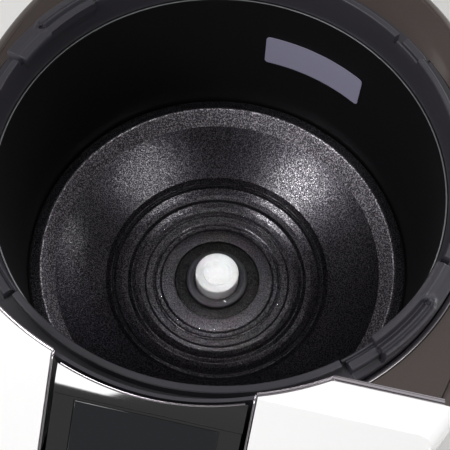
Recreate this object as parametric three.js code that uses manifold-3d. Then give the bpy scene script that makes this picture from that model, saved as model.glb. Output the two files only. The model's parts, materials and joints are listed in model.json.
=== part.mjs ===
// Induction pressure multicooker with its pot lifted out and its lid swung open.
// Millimetres and degrees. +Z is up, the control panel faces -Y, and the origin lies on the
// axis of the cooking well, in the flat underside of the base pan.

import * as THREE from 'three';
import { mergeVertices } from 'three/addons/utils/BufferGeometryUtils.js';
import Module from 'manifold-3d';

const wasm = await Module();
wasm.setup();

// Fits shared by all pieces
const seatGap = 0.3;
const slideGap = 0.4;
const overrun = 5;

// Cooking well. Its foot radius and wall height set the other round pieces and the body
const wellFootRadius = 120;
const wellFlare = 1.7;
const wellTopRadius = wellFootRadius + wellFlare;
const linerHeight = 103.8;
const linerWall = 0.8;
const linerFlangeWidth = 6;
const linerFlangeWall = 1.5;

// Heated bowl in the floor of the well, a dish whose shape keeps its shares of the well's radius
const bowlRimGap = 1.2;
const bowlRimWidth = 6.8;
const bandRun = 7.8;
const bowlRimLevel = 1.5;
const bowlRimWall = 2.3;
const bowlWall = 2.6;
const dishRadiusShare = 1.4583;
const dishDropShare = 0.3492;
const ridgeZoneShare = 0.6108;
const floorDepthShare = 0.2917;
const flatShare = 0.85;
const bowlRimRadius = wellFootRadius - bowlRimGap;
const bandTopRadius = bowlRimRadius - bowlRimWidth;
const bandFootRadius = bandTopRadius - bandRun;
const dishRadius = wellFootRadius * dishRadiusShare;
const dishDrop = wellFootRadius * dishDropShare;
const ridgeZoneRadius = wellFootRadius * ridgeZoneShare;
const flatReach = ridgeZoneRadius * flatShare;
const floorLevel = -wellFootRadius * floorDepthShare;
const floorDrop = dishAt(ridgeZoneRadius) - floorLevel;
const ridgeShares = [
  [0, 0.98], [0.191, 1], [0.247, 1.13], [0.302, 1.02], [0.413, 1.02], [0.448, 0.9],
  [0.525, 0.85], [0.637, 0.65], [0.693, 0.76], [0.86, 0.41], [0.895, 0.28], [0.938, 0.3], [1, 0],
];
const dishStepShares = [0.2, 0.4, 0.6, 0.8, 1];
const underStepShares = [0.7, 0.35];
const standHeight = 57;
const ringHeight = standHeight - floorLevel;

// Temperature sensor in the middle of the bowl
const capRadius = 14.2;
const capRise = 11.3;
const capTop = floorLevel + capRise;
const capHeight = 14.3;
const capWall = 1.2;
const capChamfer = 0.8;
const capTravel = 4;
const cupBore = 15.2;
const cupRadius = 20.4;
const cupRise = 2.7;
const cupTop = floorLevel + cupRise;
const cupDepth = 20;
const cupFloor = 2;
const cupHole = 4;
const cupFlangeRadius = 26.5;
const cupFlangeWall = 2.5;
const seatRingDrop = 1.2;
const seatRingTop = floorLevel - seatRingDrop;
const seatRingWall = 2.3;
const seatRingWidth = 7.4;
const seatRingOuter = cupRadius + seatGap + seatRingWidth;
const bowlHoleRadius = seatRingOuter + seatGap;
const sensorWire = 0.7;
const sensorSpringRadius = 9.5;
const sensorSpringTurns = 6;

// Induction coils under the bowl
const coilGap = 0.5;
const coilThickness = 3.6;
const coilCupMargin = 6.5;
const coilRidgeMargin = 4.7;
const coilEdgeMargin = 4;
const carrierWall = 2.4;
const carrierBore = 24;
const carrierKneeMargin = 2;
const carrierInset = 0.2;
const ferriteCount = 6;
const ferriteCupMargin = 2;
const ferriteKneeMargin = 1.5;
const ferriteWidth = 10;
const ferriteHeight = 3.3;
const carrierRadius = bandFootRadius - carrierInset;
const innerCoilStart = cupFlangeRadius + coilCupMargin;
const innerCoilEnd = flatReach - seatGap;
const outerCoilStart = ridgeZoneRadius + coilRidgeMargin;
const outerCoilEnd = carrierRadius - coilEdgeMargin;
const carrierKnee = innerCoilEnd + carrierKneeMargin;
const ferriteStart = cupFlangeRadius + ferriteCupMargin;
const ferriteEnd = carrierKnee - ferriteKneeMargin;
const coilSlopeShares = [0, 0.5, 1];
const carrierSlopeShares = [0, 0.35, 0.7, 1];

// Collar round the mouth of the well
const lipAboveLiner = 22.8;
const lipSetback = 2.3;
const lipWidth = 3.8;
const lipRound = 1.6;
const lipWall = 2.2;
const skirtOverlap = 7.8;
const skirtWall = 2;
const channelDepth = 7.6;
const channelWidth = 6.8;
const collarFloor = 2.5;
const blockStartAngle = 48;
const grooveEndAngle = 63.5;
const plainEndAngle = 73.6;
const padStartAngle = 40.5;
const padEndAngle = 47.6;
const padReach = 3.4;
const padDrop = 2.6;
const trenchInset = 1.4;
const trenchWidth = 1.1;
const trenchDepth = 1.6;
const grooveInset = 1.2;
const grooveWidth = 2;
const grooveDepth = 3;
const grooveLeadAngle = 1;
const gapAngle = 39.25;
const gapWidth = 1.3;
const latchSlotWidth = 22;
const latchSlotAbove = 0.6;
const latchSlotBelow = 4.5;
const lipHeight = linerHeight + lipAboveLiner;
const lipInner = wellTopRadius + lipSetback;
const lipOuter = lipInner + lipWidth;
const collarRadius = lipOuter + channelWidth;
const padOuter = lipOuter + padReach;
const trenchInner = lipInner + trenchInset;
const grooveInner = lipOuter - grooveInset;
const grooveOuter = grooveInner + grooveWidth;

// Deck, the ring round its opening, and the lid's overhang, which place the hinge behind them
const deckDrop = 13.6;
const deckWall = 2.5;
const deckRingWidth = 3.1;
const deckRingRise = 3;
const deckRingWall = 4.5;
const deckLevel = lipHeight - deckDrop;
const deckRingInner = collarRadius + seatGap;
const deckRingOuter = deckRingInner + deckRingWidth;
const fasciaRingRadius = deckRingOuter + seatGap;
const lidOverhang = 2.4;
const lidRadius = collarRadius + lidOverhang;
const hingeReach = 11;
const hingeY = lidRadius + hingeReach;

// Body outline, a superellipse that stands clear of the ring at its sides, front and rear
const sideReach = 13;
const frontReach = 62.7;
const rearReach = 29;
const bodyPower = 2.4;
const outlineSides = 36;
const baseHeight = 34;
const bodyWall = 2.2;
const footInset = 3;
const bellyDrop = 85;
const shoulderInset = 2;
const shoulderRadius = 8;
const shoulderSteps = 3;
const bodyHalfWidth = deckRingOuter + sideReach;
const bodyFront = fasciaRingRadius + frontReach;
const bodyRear = hingeY + rearReach;
const bodyHalfDepth = (bodyFront + bodyRear) / 2;
const bodyCentreY = (bodyRear - bodyFront) / 2;
const bellyHeight = ringHeight + deckLevel - bellyDrop;

// White front fascia with its glossy control panel
const fasciaRise = 33.4;
const fasciaOverlap = 20;
const fasciaRingWall = 3.5;
const browOverlap = 4.3;
const fasciaLevel = lipHeight + fasciaRise;
const fasciaRearY = fasciaOverlap - fasciaRingRadius;
const browY = browOverlap - fasciaRingRadius;
const slopeAngle = 42;
const trimWidth = 1.2;
const trimDepth = 4.5;
const trimShadow = 0.6;
const panelHalfWidth = 41.6;
const panelWall = 2.5;
const panelBottomDistance = 74;
const bezelWidth = 1;
const panelShadow = 0.7;
const displayMargin = 9.6;
const displayWidth = (panelHalfWidth - displayMargin) * 2;
const displayHeight = 26;
const displayWall = 1.2;
const displayDistance = 32;
const keyNames = ['key_menu', 'key_time', 'key_start', 'key_cancel'];
const keyWidth = 13;
const keyHeight = 9;
const keyMargin = 5.6;
const keyPitch = (panelHalfWidth - keyMargin) * 2 / keyNames.length;
const keyDistance = 60;
const keyProud = 0.9;
const keyStem = 3.4;
const keyTravel = 0.8;
const controlBoardDepth = 8;
const controlBoardLength = 50;
const controlBoardMargin = 1.6;
const controlBoardWidth = (panelHalfWidth - controlBoardMargin) * 2;
const boardWall = 1.6;
const standoffRadius = 2.5;
const standoffInset = 3.5;

// Base pan, feet and fasteners
const panWall = 2.5;
const panInset = 14;
const panRoundLow = 2;
const panRoundLowInset = 9;
const panRoundHigh = 8;
const panRoundHighInset = 4.5;
const postRadius = 5;
const postMargin = 12;
const postReach = (carrierRadius - postMargin) * Math.SQRT1_2;
const screwHeadRadius = 3.6;
const screwHeadHeight = 1.3;
const screwRecess = 1.5;
const screwShankRadius = 1.8;
const screwLength = 18;
const footRadius = 12;
const footHeight = 5;
const footTaper = 1;
const footStemRadius = 4;
const footHeadRadius = 5.5;
const footHeadHeight = 1.2;
const footSideInset = 59;
const footFrontInset = 83;
const footRearInset = 75;
const footX = bodyHalfWidth - footSideInset;
const footFrontY = footFrontInset - bodyFront;
const footRearY = bodyRear - footRearInset;
const ventSlotCount = 6;
const ventSlotLength = 52;
const ventSlotWidth = 3;
const ventSlotPitch = 8;
const rearVentCount = 6;
const rearVentX = -52;
const rearVentPitch = 7;
const rearVentWidth = 3;
const rearVentRise = 24;
const rearVentLow = baseHeight + rearVentRise;
const rearVentHeight = 36;

// Cooling fan, boards and mains inlet
const fanInset = 102;
const fanY = bodyRear - fanInset;
const fanSize = 80;
const fanHeight = 20;
const fanBore = 37;
const fanHubRadius = 14;
const fanSeatHeight = 2.5;
const fanStrutWidth = 5;
const bladeCount = 7;
const bladeLength = 35;
const bladeWall = 1.4;
const bladeHeight = 12;
const bladeTilt = 40;
const powerBoardWidth = 116;
const powerBoardInset = 117;
const powerBoardRearY = powerBoardInset - bodyFront;
const powerBoardLength = 72;
const powerBoardLevel = 12;
const heatSinkWidth = 56;
const heatSinkInset = 8;
const heatSinkX = heatSinkInset + (heatSinkWidth - powerBoardWidth) / 2;
const heatSinkLength = 44;
const heatSinkMargin = 6;
const heatSinkRearY = powerBoardRearY - heatSinkMargin;
const heatSinkHeight = 28;
const heatSinkBase = 4;
const finCount = 8;
const finWall = 1.6;
const capacitorRadius = 11;
const capacitorHeight = 26;
const capacitorInset = 20;
const capacitorX = powerBoardWidth / 2 - capacitorInset;
const capacitorMargin = 18;
const capacitorY = powerBoardRearY - capacitorMargin;
const inletX = 0;
const inletRise = 24;
const inletLevel = baseHeight + inletRise;
const inletWidth = 31;
const inletHeight = 25;
const inletDepth = 28;
const inletProud = 0.2;
const inletFaceY = bodyRear + inletProud;
const inletWall = 3;
const inletCavity = 17;
const inletFlange = 2.4;
const inletFlangeWall = 1.6;
const inletPinWidth = 2;
const inletPinHeight = 4;
const inletPinLength = 12;
const inletPinPitch = 7;
const inletPinRise = 2;

// Hinge at the back
const hingeRise = 0.2;
const openAngle = 100;
const hingePinRadius = 3;
const hingePinHalf = 41;
const knuckleRadius = 7.5;
const knuckleStart = 16;
const knuckleEnd = 31.5;
const earStart = 32.5;
const earEnd = 39;
const bracketHalfDepth = 7;
const bracketWall = 1.7;
const armTop = 16;
const armBottom = 2;
const hingeSpringRadius = 5.2;
const hingeSpringWire = 0.9;
const hingeSpringTurns = 7;
const hingeSpringHalf = 14;

// Lid, described shut
const lidRise = 1.8;
const lidRimHeight = 11.2;
const lidWall = 2.4;
const domeRise = 34;
const crownMargin = 6;
const domeSteps = 4;
const linerPlateLevel = 5.2;
const linerPlateWall = 2.4;
const innerLidInset = 4.1;
const innerLidRadius = wellTopRadius - innerLidInset;
const innerLidWall = 1.2;
const innerLidLevel = 1.2;
const innerLidDish = 2;
const dishInset = 21.6;
const innerLidDishRadius = innerLidRadius - dishInset;
const postInset = 17.6;
const postRing = innerLidRadius - postInset;
const lidPostRadius = 4;
const gasketInset = 1.1;
const gasketWidth = 11.5;
const gasketOuter = innerLidRadius - gasketInset;
const gasketInner = gasketOuter - gasketWidth;
const gasketHeight = 4;
const gasketLip = 2;

// Lock ring, its spindle and knob
const lockLevel = 3.6;
const lockWall = 1.3;
const lockGap = 0.9;
const lockInner = innerLidRadius + lockGap;
const finInnerGap = 0.35;
const finOuterGap = 0.4;
const finInnerRadius = grooveInner + finInnerGap;
const finOuterRadius = grooveOuter - finOuterGap;
const finReach = 3.9;
const finStartAngle = 41;
const finEndAngle = 46;
const spokeCount = 3;
const spokeWidth = 12;
const spokeStartAngle = 90;
const hubRadius = 20;
const spindleRadius = 8.2;
const knobRadius = 36;
const knobHeight = 14;
const knobGrip = 8;
const knobGripWidth = 17;
const knobGap = 0.6;
const knobSocket = 12;
const knobRound = 3;

// Pressure vent and float pin
const ventInset = 59;
const ventRing = lidRadius - ventInset;
const ventSeatRadius = 9;
const ventBore = 4;
const ventSeatBottom = 2;
const ventSeatTop = 29;
const ventFlangeRadius = 14.5;
const ventFlangeWall = 2;
const ventCapRadius = 14;
const ventCapHeight = 15;
const ventCapRound = 2.5;
const ventStemRadius = 3.6;
const ventStemLength = 12;
const ventWellRadius = 15.3;
const floatAngle = 120;
const floatRadius = 3;
const floatHeadRadius = 5;
const floatHeadHeight = 1.7;
const floatHeadDrop = 7.5;
const floatLength = 46;

// Latch and its release button
const latchPivotInset = 41;
const latchPivotY = latchPivotInset - lidRadius;
const latchPivotRise = 17;
const latchWidth = 18;
const latchWall = 1.4;
const latchBarLevel = 11.6;
const latchArmInset = 1.8;
const latchArmY = latchArmInset - lidRadius;
const latchNoseReach = 4.3;
const latchNoseHeight = 3;
const latchNoseDrop = 4.4;
const latchPinRadius = 1.5;
const latchPinHalf = 14;
const latchBarrelRadius = 3.2;
const latchBarrelHalf = 7;
const lugStart = 11;
const lugHalfDepth = 3.4;
const latchSpringWire = 0.45;
const latchSpringRadius = 2.5;
const latchSpringTurns = 2.5;
const buttonInset = 17;
const buttonY = buttonInset - lidRadius;
const buttonWidth = 34;
const buttonDepth = 13;
const buttonTop = 33;
const buttonRound = 4;

// Bare plate on the wall of the well
const plateStartAngle = 146.5;
const plateEndAngle = 178.5;
const plateLow = 50;
const plateHigh = 75;
const plateWall = 0.5;
const plateOffset = 0.4;
const plateRadius = wellFootRadius + plateOffset;

// Facets
const wideSides = 48;
const bowlSides = 40;
const smallSides = 18;
const pinSides = 10;
const coilSteps = 7;
const coilSides = 4;
const cornerSteps = 3;

// Levels and radii worked out from the sizes above
const lipTop = ringHeight + lipHeight;
const channelZ = lipTop - channelDepth;
const deckTop = ringHeight + deckLevel;
const fasciaTop = ringHeight + fasciaLevel;
const lidBottom = lipTop + lidRise;
const hingeZ = lidBottom + hingeRise;
const crownRadius = knobRadius + crownMargin;
const crownZ = lidBottom + lidRimHeight + domeRise;
const slope = THREE.MathUtils.degToRad(slopeAngle);
const far = bodyHalfDepth * 2;

// Height of the spherical dish above the rim plane at a given radius
function dishAt(radius) {
  return dishRadius - dishDrop - Math.sqrt(dishRadius ** 2 - radius ** 2);
}

// Lowest part of the coil stack at a given radius
function carrierUnderside(radius) {
  const surface = radius > carrierKnee ? dishAt(radius) : floorLevel;
  return surface - bowlWall - coilGap - coilThickness - seatGap - carrierWall;
}

// Geometry helpers

// Volume inside a merged mesh, negative where its faces point inward
function signedVolume(geometry) {
  const index = geometry.index.array;
  const place = geometry.attributes.position;
  const corners = [new THREE.Vector3(), new THREE.Vector3(), new THREE.Vector3()];
  let volume = 0;
  for (let i = 0; i < index.length; i += 3) {
    corners.forEach((corner, k) => corner.fromBufferAttribute(place, index[i + k]));
    volume += corners[0].dot(corners[1].cross(corners[2])) / 6;
  }
  return volume;
}

// One closed skin with shared corners and outward faces
function closed(geometry) {
  const bare = geometry.clone();
  bare.clearGroups();
  bare.deleteAttribute('normal');
  bare.deleteAttribute('uv');
  const merged = mergeVertices(bare);
  const index = merged.index.array;
  const kept = [];
  for (let i = 0; i < index.length; i += 3) {
    const [a, b, c] = [index[i], index[i + 1], index[i + 2]];
    if (a !== b && b !== c && c !== a) kept.push(a, b, c);
  }
  merged.setIndex(kept);
  if (signedVolume(merged) < 0) {
    for (let i = 0; i < kept.length; i += 3) [kept[i], kept[i + 1]] = [kept[i + 1], kept[i]];
    merged.setIndex(kept);
  }
  return merged;
}

function solid(geometry) {
  const skin = closed(geometry);
  return new wasm.Manifold(new wasm.Mesh({
    numProp: 3,
    vertProperties: new Float32Array(skin.attributes.position.array),
    triVerts: new Uint32Array(skin.index.array),
  }));
}

function geometryOf(shape) {
  const mesh = shape.getMesh();
  const geometry = new THREE.BufferGeometry();
  geometry.setAttribute('position', new THREE.BufferAttribute(mesh.vertProperties, 3));
  geometry.setIndex(new THREE.BufferAttribute(mesh.triVerts, 1));
  return geometry;
}

function join(first, ...others) {
  return others.reduce((sum, next) => sum.add(next), first);
}

function cut(first, ...others) {
  return others.reduce((rest, next) => rest.subtract(next), first);
}

// A closed [radius, height] outline turned round Z; angle 0 is the front
function turned(profile, sides) {
  const points = profile.map(([radius, z]) => new THREE.Vector2(radius, z));
  const [first] = points;
  const last = points[points.length - 1];
  if (first.x > 0 || last.x > 0) points.push(first.clone());
  return solid(new THREE.LatheGeometry(points, sides).rotateX(Math.PI / 2));
}

function tube(inner, outer, low, high, sides) {
  return turned([[inner, low], [outer, low], [outer, high], [inner, high]], sides);
}

function rod(radius, low, high, sides, x = 0, y = 0) {
  const geometry = new THREE.CylinderGeometry(radius, radius, high - low, sides);
  geometry.rotateX(Math.PI / 2).translate(x, y, (low + high) / 2);
  return solid(geometry);
}

function crossRod(radius, left, right, sides, y, z) {
  const geometry = new THREE.CylinderGeometry(radius, radius, right - left, sides);
  geometry.rotateZ(Math.PI / 2).translate((left + right) / 2, y, z);
  return solid(geometry);
}

function boxGeometry(x0, x1, y0, y1, z0, z1) {
  const geometry = new THREE.BoxGeometry(x1 - x0, y1 - y0, z1 - z0);
  return geometry.translate((x0 + x1) / 2, (y0 + y1) / 2, (z0 + z1) / 2);
}

function block(x0, x1, y0, y1, z0, z1) {
  return solid(boxGeometry(x0, x1, y0, y1, z0, z1));
}

// A plate with round corners, centred on X and Y
function roundedPlate(width, depth, radius, low, high) {
  const [x, y] = [width / 2, depth / 2];
  const shape = new THREE.Shape();
  shape.absarc(x - radius, y - radius, radius, 0, Math.PI / 2);
  shape.absarc(radius - x, y - radius, radius, Math.PI / 2, Math.PI);
  shape.absarc(radius - x, radius - y, radius, Math.PI, Math.PI * 3 / 2);
  shape.absarc(x - radius, radius - y, radius, Math.PI * 3 / 2, Math.PI * 2);
  const options = { depth: high - low, bevelEnabled: false, curveSegments: cornerSteps };
  return new THREE.ExtrudeGeometry(shape, options).translate(0, 0, low);
}

// Point at a radius and an angle counted from the front towards +X
function around(radius, degrees) {
  const angle = THREE.MathUtils.degToRad(degrees);
  return [radius * Math.sin(angle), -radius * Math.cos(angle)];
}

// An arc-shaped block between two radii, two angles and two heights
function sector(inner, outer, start, end, low, high) {
  const [from, to] = [start, end].map((angle) => THREE.MathUtils.degToRad(angle - 90));
  const shape = new THREE.Shape();
  shape.absarc(0, 0, outer, from, to, false);
  shape.absarc(0, 0, inner, to, from, true);
  const steps = Math.max(2, Math.round(Math.abs(end - start) * wideSides / 360));
  const options = { depth: high - low, bevelEnabled: false, curveSegments: steps };
  return solid(new THREE.ExtrudeGeometry(shape, options).translate(0, 0, low));
}

// A coil spring along Z from a low to a high end
function coilSpring(radius, wire, turns, low, high) {
  const steps = Math.round(turns * coilSteps);
  const points = [];
  for (let i = 0; i <= steps; i += 1) {
    const angle = (i / coilSteps) * Math.PI * 2;
    const z = low + wire + (high - low - 2 * wire) * (i / steps);
    points.push(new THREE.Vector3(radius * Math.cos(angle), radius * Math.sin(angle), z));
  }
  const section = new THREE.Shape();
  section.absarc(0, 0, wire, 0, Math.PI * 2);
  const path = new THREE.CatmullRomCurve3(points);
  return new THREE.ExtrudeGeometry(section, { steps, extrudePath: path, curveSegments: coilSides });
}

// Ring of the body outline, drawn in by an inset
function outlineRing(inset) {
  const [a, b] = [bodyHalfWidth - inset, bodyHalfDepth - inset];
  const power = 2 / bodyPower;
  return Array.from({ length: outlineSides }, (_, i) => {
    const angle = (i / outlineSides) * Math.PI * 2;
    const x = Math.sign(Math.cos(angle)) * Math.abs(Math.cos(angle)) ** power;
    const y = Math.sign(Math.sin(angle)) * Math.abs(Math.sin(angle)) ** power;
    return [a * x, bodyCentreY + b * y];
  });
}

// A closed solid through outline rings at [inset, height] sections, listed from the bottom
function loft(sections) {
  const positions = [];
  const index = [];
  sections.forEach(([inset, z]) => outlineRing(inset).forEach(([x, y]) => positions.push(x, y, z)));
  for (let level = 0; level < sections.length - 1; level += 1) {
    for (let i = 0; i < outlineSides; i += 1) {
      const [a, b] = [level * outlineSides + i, level * outlineSides + ((i + 1) % outlineSides)];
      index.push(a, b, b + outlineSides, a, b + outlineSides, a + outlineSides);
    }
  }
  const last = (sections.length - 1) * outlineSides;
  for (let i = 1; i < outlineSides - 1; i += 1) {
    index.push(0, i + 1, i, last, last + i, last + i + 1);
  }
  const geometry = new THREE.BufferGeometry();
  geometry.setAttribute('position', new THREE.Float32BufferAttribute(positions, 3));
  geometry.setIndex(index);
  return solid(geometry);
}

// Upper body: drawn in at the foot, widest at the belly, rounded over at the shoulder
function hull(top, wall, bottom) {
  const radius = shoulderRadius - wall;
  const sections = [[footInset + wall, bottom], [wall, bellyHeight]];
  for (let i = 0; i <= shoulderSteps; i += 1) {
    const angle = (i / shoulderSteps) * Math.PI / 2;
    const inset = shoulderInset + wall + radius * (1 - Math.cos(angle));
    sections.push([inset, top - wall - radius + radius * Math.sin(angle)]);
  }
  return loft(sections);
}

// Everything behind the sloping control face and below the fascia's top, set back by a depth
function frontBlock(depth) {
  const [rise, run] = [Math.sin(slope), Math.cos(slope)];
  const top = fasciaTop - depth;
  const lineY = browY + depth * rise;
  const lineZ = fasciaTop - depth * run;
  const brow = lineY + (top - lineZ) * run / rise;
  const shape = new THREE.Shape([
    new THREE.Vector2(fasciaRearY - depth, -far),
    new THREE.Vector2(fasciaRearY - depth, top),
    new THREE.Vector2(brow, top),
    new THREE.Vector2(-far, lineZ + (-far - lineY) * rise / run),
    new THREE.Vector2(-far, -far),
  ]);
  const geometry = new THREE.ExtrudeGeometry(shape, { depth: far * 2, bevelEnabled: false });
  const toFront = new THREE.Matrix4().makeBasis(
    new THREE.Vector3(0, 1, 0), new THREE.Vector3(0, 0, 1), new THREE.Vector3(1, 0, 0));
  return solid(geometry.applyMatrix4(toFront).translate(-far, 0, 0));
}

// The sloping control face as a frame: X across, Y up the slope, Z out of it
const slopeFrame = new THREE.Matrix4().makeRotationX(slope).setPosition(0, browY, fasciaTop);

function onSlope(geometry) {
  return solid(geometry.clone().applyMatrix4(slopeFrame));
}

// Materials
function finish(color, roughness, metalness) {
  return new THREE.MeshStandardMaterial({ color, roughness, metalness });
}
const finishes = {
  bowlCoating: finish(0x1d1c1f, 0.55, 0.2),
  linerBlack: finish(0x0d0c0f, 0.6, 0.1),
  satinBlack: finish(0x26252a, 0.4, 0),
  brownMetal: finish(0x4b4442, 0.35, 0.7),
  chrome: finish(0xc9c4c9, 0.15, 1),
  whiteGloss: finish(0xf2f2f2, 0.15, 0),
  panelGloss: finish(0x121114, 0.08, 0),
  displayGlass: finish(0x1c1e22, 0.05, 0),
  keyGrey: finish(0x3a393d, 0.35, 0),
  sensorAluminium: finish(0xdad8db, 0.35, 0.8),
  rubber: finish(0x151416, 0.8, 0),
  steel: finish(0xb9b6b6, 0.25, 0.9),
  copper: finish(0xa86438, 0.35, 0.9),
  ferrite: finish(0x3b3a3c, 0.7, 0.2),
  board: finish(0x1f5a36, 0.5, 0),
  aluminium: finish(0xa9abae, 0.4, 0.8),
  silicone: finish(0xd8d6d2, 0.6, 0),
  barePlate: finish(0x9b99ad, 0.45, 0),
};

const cooker = new THREE.Group();

function add(group, name, shape, material) {
  const geometry = shape.isBufferGeometry ? closed(shape) : geometryOf(shape);
  const mesh = new THREE.Mesh(geometry, finishes[material]);
  mesh.name = name;
  group.add(mesh);
  return mesh;
}

// Base pan: tray with screw posts, board standoffs, foot holes and fan slots
const postPlaces = [[-1, -1], [1, -1], [1, 1], [-1, 1]].map(([x, y]) => [x * postReach, y * postReach]);
const postRadiusFromAxis = Math.hypot(postReach, postReach);
const postTop = ringHeight + carrierUnderside(postRadiusFromAxis - postRadius) - seatGap;
const footPlaces = {
  foot_front_left: [-footX, footFrontY],
  foot_front_right: [footX, footFrontY],
  foot_rear_right: [footX, footRearY],
  foot_rear_left: [-footX, footRearY],
};
const boardFrontY = powerBoardRearY - powerBoardLength;
const standoffPlaces = [-1, 1].flatMap((side) => [
  [side * (powerBoardWidth / 2 - standoffInset), powerBoardRearY - standoffInset],
  [side * (powerBoardWidth / 2 - standoffInset), boardFrontY + standoffInset],
]);

function makeBasePan() {
  const outer = loft([[panInset, 0], [panRoundLowInset, panRoundLow],
    [panRoundHighInset, panRoundHigh], [footInset, baseHeight]]);
  const inner = loft([[panInset, panWall], [panRoundLowInset + panWall, panRoundLow + panWall],
    [panRoundHighInset + panWall, panRoundHigh + panWall],
    [footInset + panWall, baseHeight], [footInset + panWall, baseHeight + overrun]]);
  const inside = panWall / 2;
  const posts = postPlaces.map(([x, y]) => rod(postRadius, inside, postTop, pinSides, x, y));
  const standoffs = standoffPlaces.map(([x, y]) => (
    rod(standoffRadius, inside, powerBoardLevel - seatGap, pinSides, x, y)));
  const shank = screwShankRadius + seatGap;
  const bores = postPlaces.map(([x, y]) => (
    rod(shank, -overrun, screwLength + seatGap, pinSides, x, y)));
  const recesses = postPlaces.map(([x, y]) => (
    rod(screwHeadRadius + seatGap, -overrun, screwRecess, pinSides, x, y)));
  const footHoles = Object.values(footPlaces).map(([x, y]) => (
    rod(footStemRadius + seatGap, -overrun, panWall + overrun, pinSides, x, y)));
  const slots = Array.from({ length: ventSlotCount }, (_, i) => {
    const y = fanY + (i - (ventSlotCount - 1) / 2) * ventSlotPitch;
    return block(-ventSlotLength / 2, ventSlotLength / 2, y - ventSlotWidth / 2, y + ventSlotWidth / 2,
      -overrun, panWall + overrun);
  });
  return cut(join(cut(outer, inner), ...posts, ...standoffs), ...bores, ...recesses, ...footHoles,
    ...slots);
}
add(cooker, 'base_pan', makeBasePan(), 'satinBlack');

const screwTop = screwRecess - seatGap;
const screw = closed(geometryOf(turned([
  [0, screwTop - screwHeadHeight], [screwHeadRadius, screwTop - screwHeadHeight],
  [screwHeadRadius, screwTop], [screwShankRadius, screwTop], [screwShankRadius, screwLength], [0,
    screwLength],
], pinSides)));
postPlaces.forEach(([x, y], i) => {
  add(cooker, `base_screw_${i + 1}`, screw, 'steel').position.set(x, y, 0);
});

const foot = closed(geometryOf(turned([
  [0, -footHeight], [footRadius - footTaper, -footHeight], [footRadius, -seatGap],
  [footStemRadius, -seatGap], [footStemRadius, panWall + seatGap], [footHeadRadius, panWall + seatGap],
  [footStemRadius, panWall + seatGap + footHeadHeight], [0, panWall + seatGap + footHeadHeight],
], smallSides)));
Object.entries(footPlaces).forEach(([name, [x, y]]) => {
  add(cooker, name, foot, 'rubber').position.set(x, y, 0);
});

// Body shell behind the fascia, open under the deck
const shellBottom = baseHeight + seatGap;

function makeBodyShell() {
  const outer = hull(deckTop, 0, shellBottom);
  const inner = hull(deckTop, bodyWall, shellBottom);
  const bottomless = loft([[footInset + bodyWall, shellBottom - overrun], [footInset + bodyWall,
    shellBottom]]);
  const mouth = loft([[shoulderInset + shoulderRadius, deckTop - bodyWall - overrun],
    [shoulderInset + shoulderRadius, deckTop + overrun]]);
  const front = block(-far, far, -far, fasciaRearY + seatGap, -far, far);
  const inlet = block(inletX - inletWidth / 2 - seatGap, inletX + inletWidth / 2 + seatGap,
    inletFaceY - inletDepth, far,
    inletLevel - inletHeight / 2 - seatGap, inletLevel + inletHeight / 2 + seatGap);
  const vents = Array.from({ length: rearVentCount }, (_, i) => {
    const x = rearVentX + (i - (rearVentCount - 1) / 2) * rearVentPitch;
    return block(x - rearVentWidth / 2, x + rearVentWidth / 2, bodyHalfDepth / 2, far,
      rearVentLow, rearVentLow + rearVentHeight);
  });
  return cut(outer, inner, bottomless, mouth, front, inlet, ...vents);
}
add(cooker, 'body_shell', makeBodyShell(), 'brownMetal');

// Deck round the collar, and the bright ring that frames its opening
function makeTopDeck() {
  const edge = shoulderInset + shoulderRadius + seatGap;
  const plate = loft([[edge, deckTop - deckWall], [edge, deckTop]]);
  const hole = rod(deckRingOuter + seatGap, deckTop - deckWall - overrun, deckTop + overrun, wideSides);
  const front = block(-far, far, -far, fasciaRearY + seatGap, -far, far);
  return cut(plate, hole, front);
}
add(cooker, 'top_deck', makeTopDeck(), 'brownMetal');

function makeDeckRing() {
  const low = deckTop - deckRingWall;
  const ring = turned([[deckRingInner, low], [deckRingOuter, low], [deckRingOuter, deckTop],
    [deckRingInner, deckTop - deckRingRise]], wideSides);
  return cut(ring, block(-far, far, -far, fasciaRearY + seatGap, -far, far));
}
add(cooker, 'deck_ring', makeDeckRing(), 'chrome');

// White fascia, raised above the deck, with an arc for the collar and an opening for the panel
const fasciaHull = hull(fasciaTop, 0, shellBottom);
const deckLine = deckTop - shoulderRadius / 2;
const panelLowZ = fasciaTop - panelBottomDistance * Math.sin(slope);
const trimOuter = fasciaRingRadius + seatGap + trimWidth;
const wholeFront = frontBlock(0).intersect(fasciaHull);
const panelFace = cut(wholeFront, frontBlock(panelWall));
const panelOpening = panelHalfWidth + seatGap + bezelWidth + panelShadow;

// Region of the front face within half a width of the middle and above a height
function panelZone(half, low) {
  return block(-half, half, -far, fasciaRearY, low, far);
}

function makeFascia() {
  const outer = cut(wholeFront, rod(fasciaRingRadius, -far, far, wideSides));
  const hollow = hull(fasciaTop, bodyWall, shellBottom - overrun);
  const cavity = cut(hollow.intersect(frontBlock(bodyWall)),
    rod(fasciaRingRadius + fasciaRingWall, -far, far, wideSides));
  const ringFoot = rod(fasciaRingRadius + fasciaRingWall, -far, deckLine, wideSides);
  const rearMouth = hollow.intersect(
    block(-far, far, fasciaRearY - bodyWall - overrun, fasciaRearY + overrun, -far, deckLine));
  const opening = cut(panelZone(panelOpening, panelLowZ - seatGap - bezelWidth - panelShadow),
    frontBlock(panelWall + seatGap));
  const rebate = rod(trimOuter + trimShadow, fasciaTop - trimDepth, far, wideSides);
  const noseLow = lidBottom - latchNoseDrop;
  const slot = block(-latchSlotWidth / 2, latchSlotWidth / 2,
    -fasciaRingRadius - fasciaRingWall - overrun / 2,
    -fasciaRingRadius + overrun, noseLow - latchSlotBelow, noseLow + latchNoseHeight + latchSlotAbove);
  return cut(outer, cavity, ringFoot, rearMouth, opening, rebate, slot);
}
add(cooker, 'front_fascia', makeFascia(), 'whiteGloss');

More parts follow.
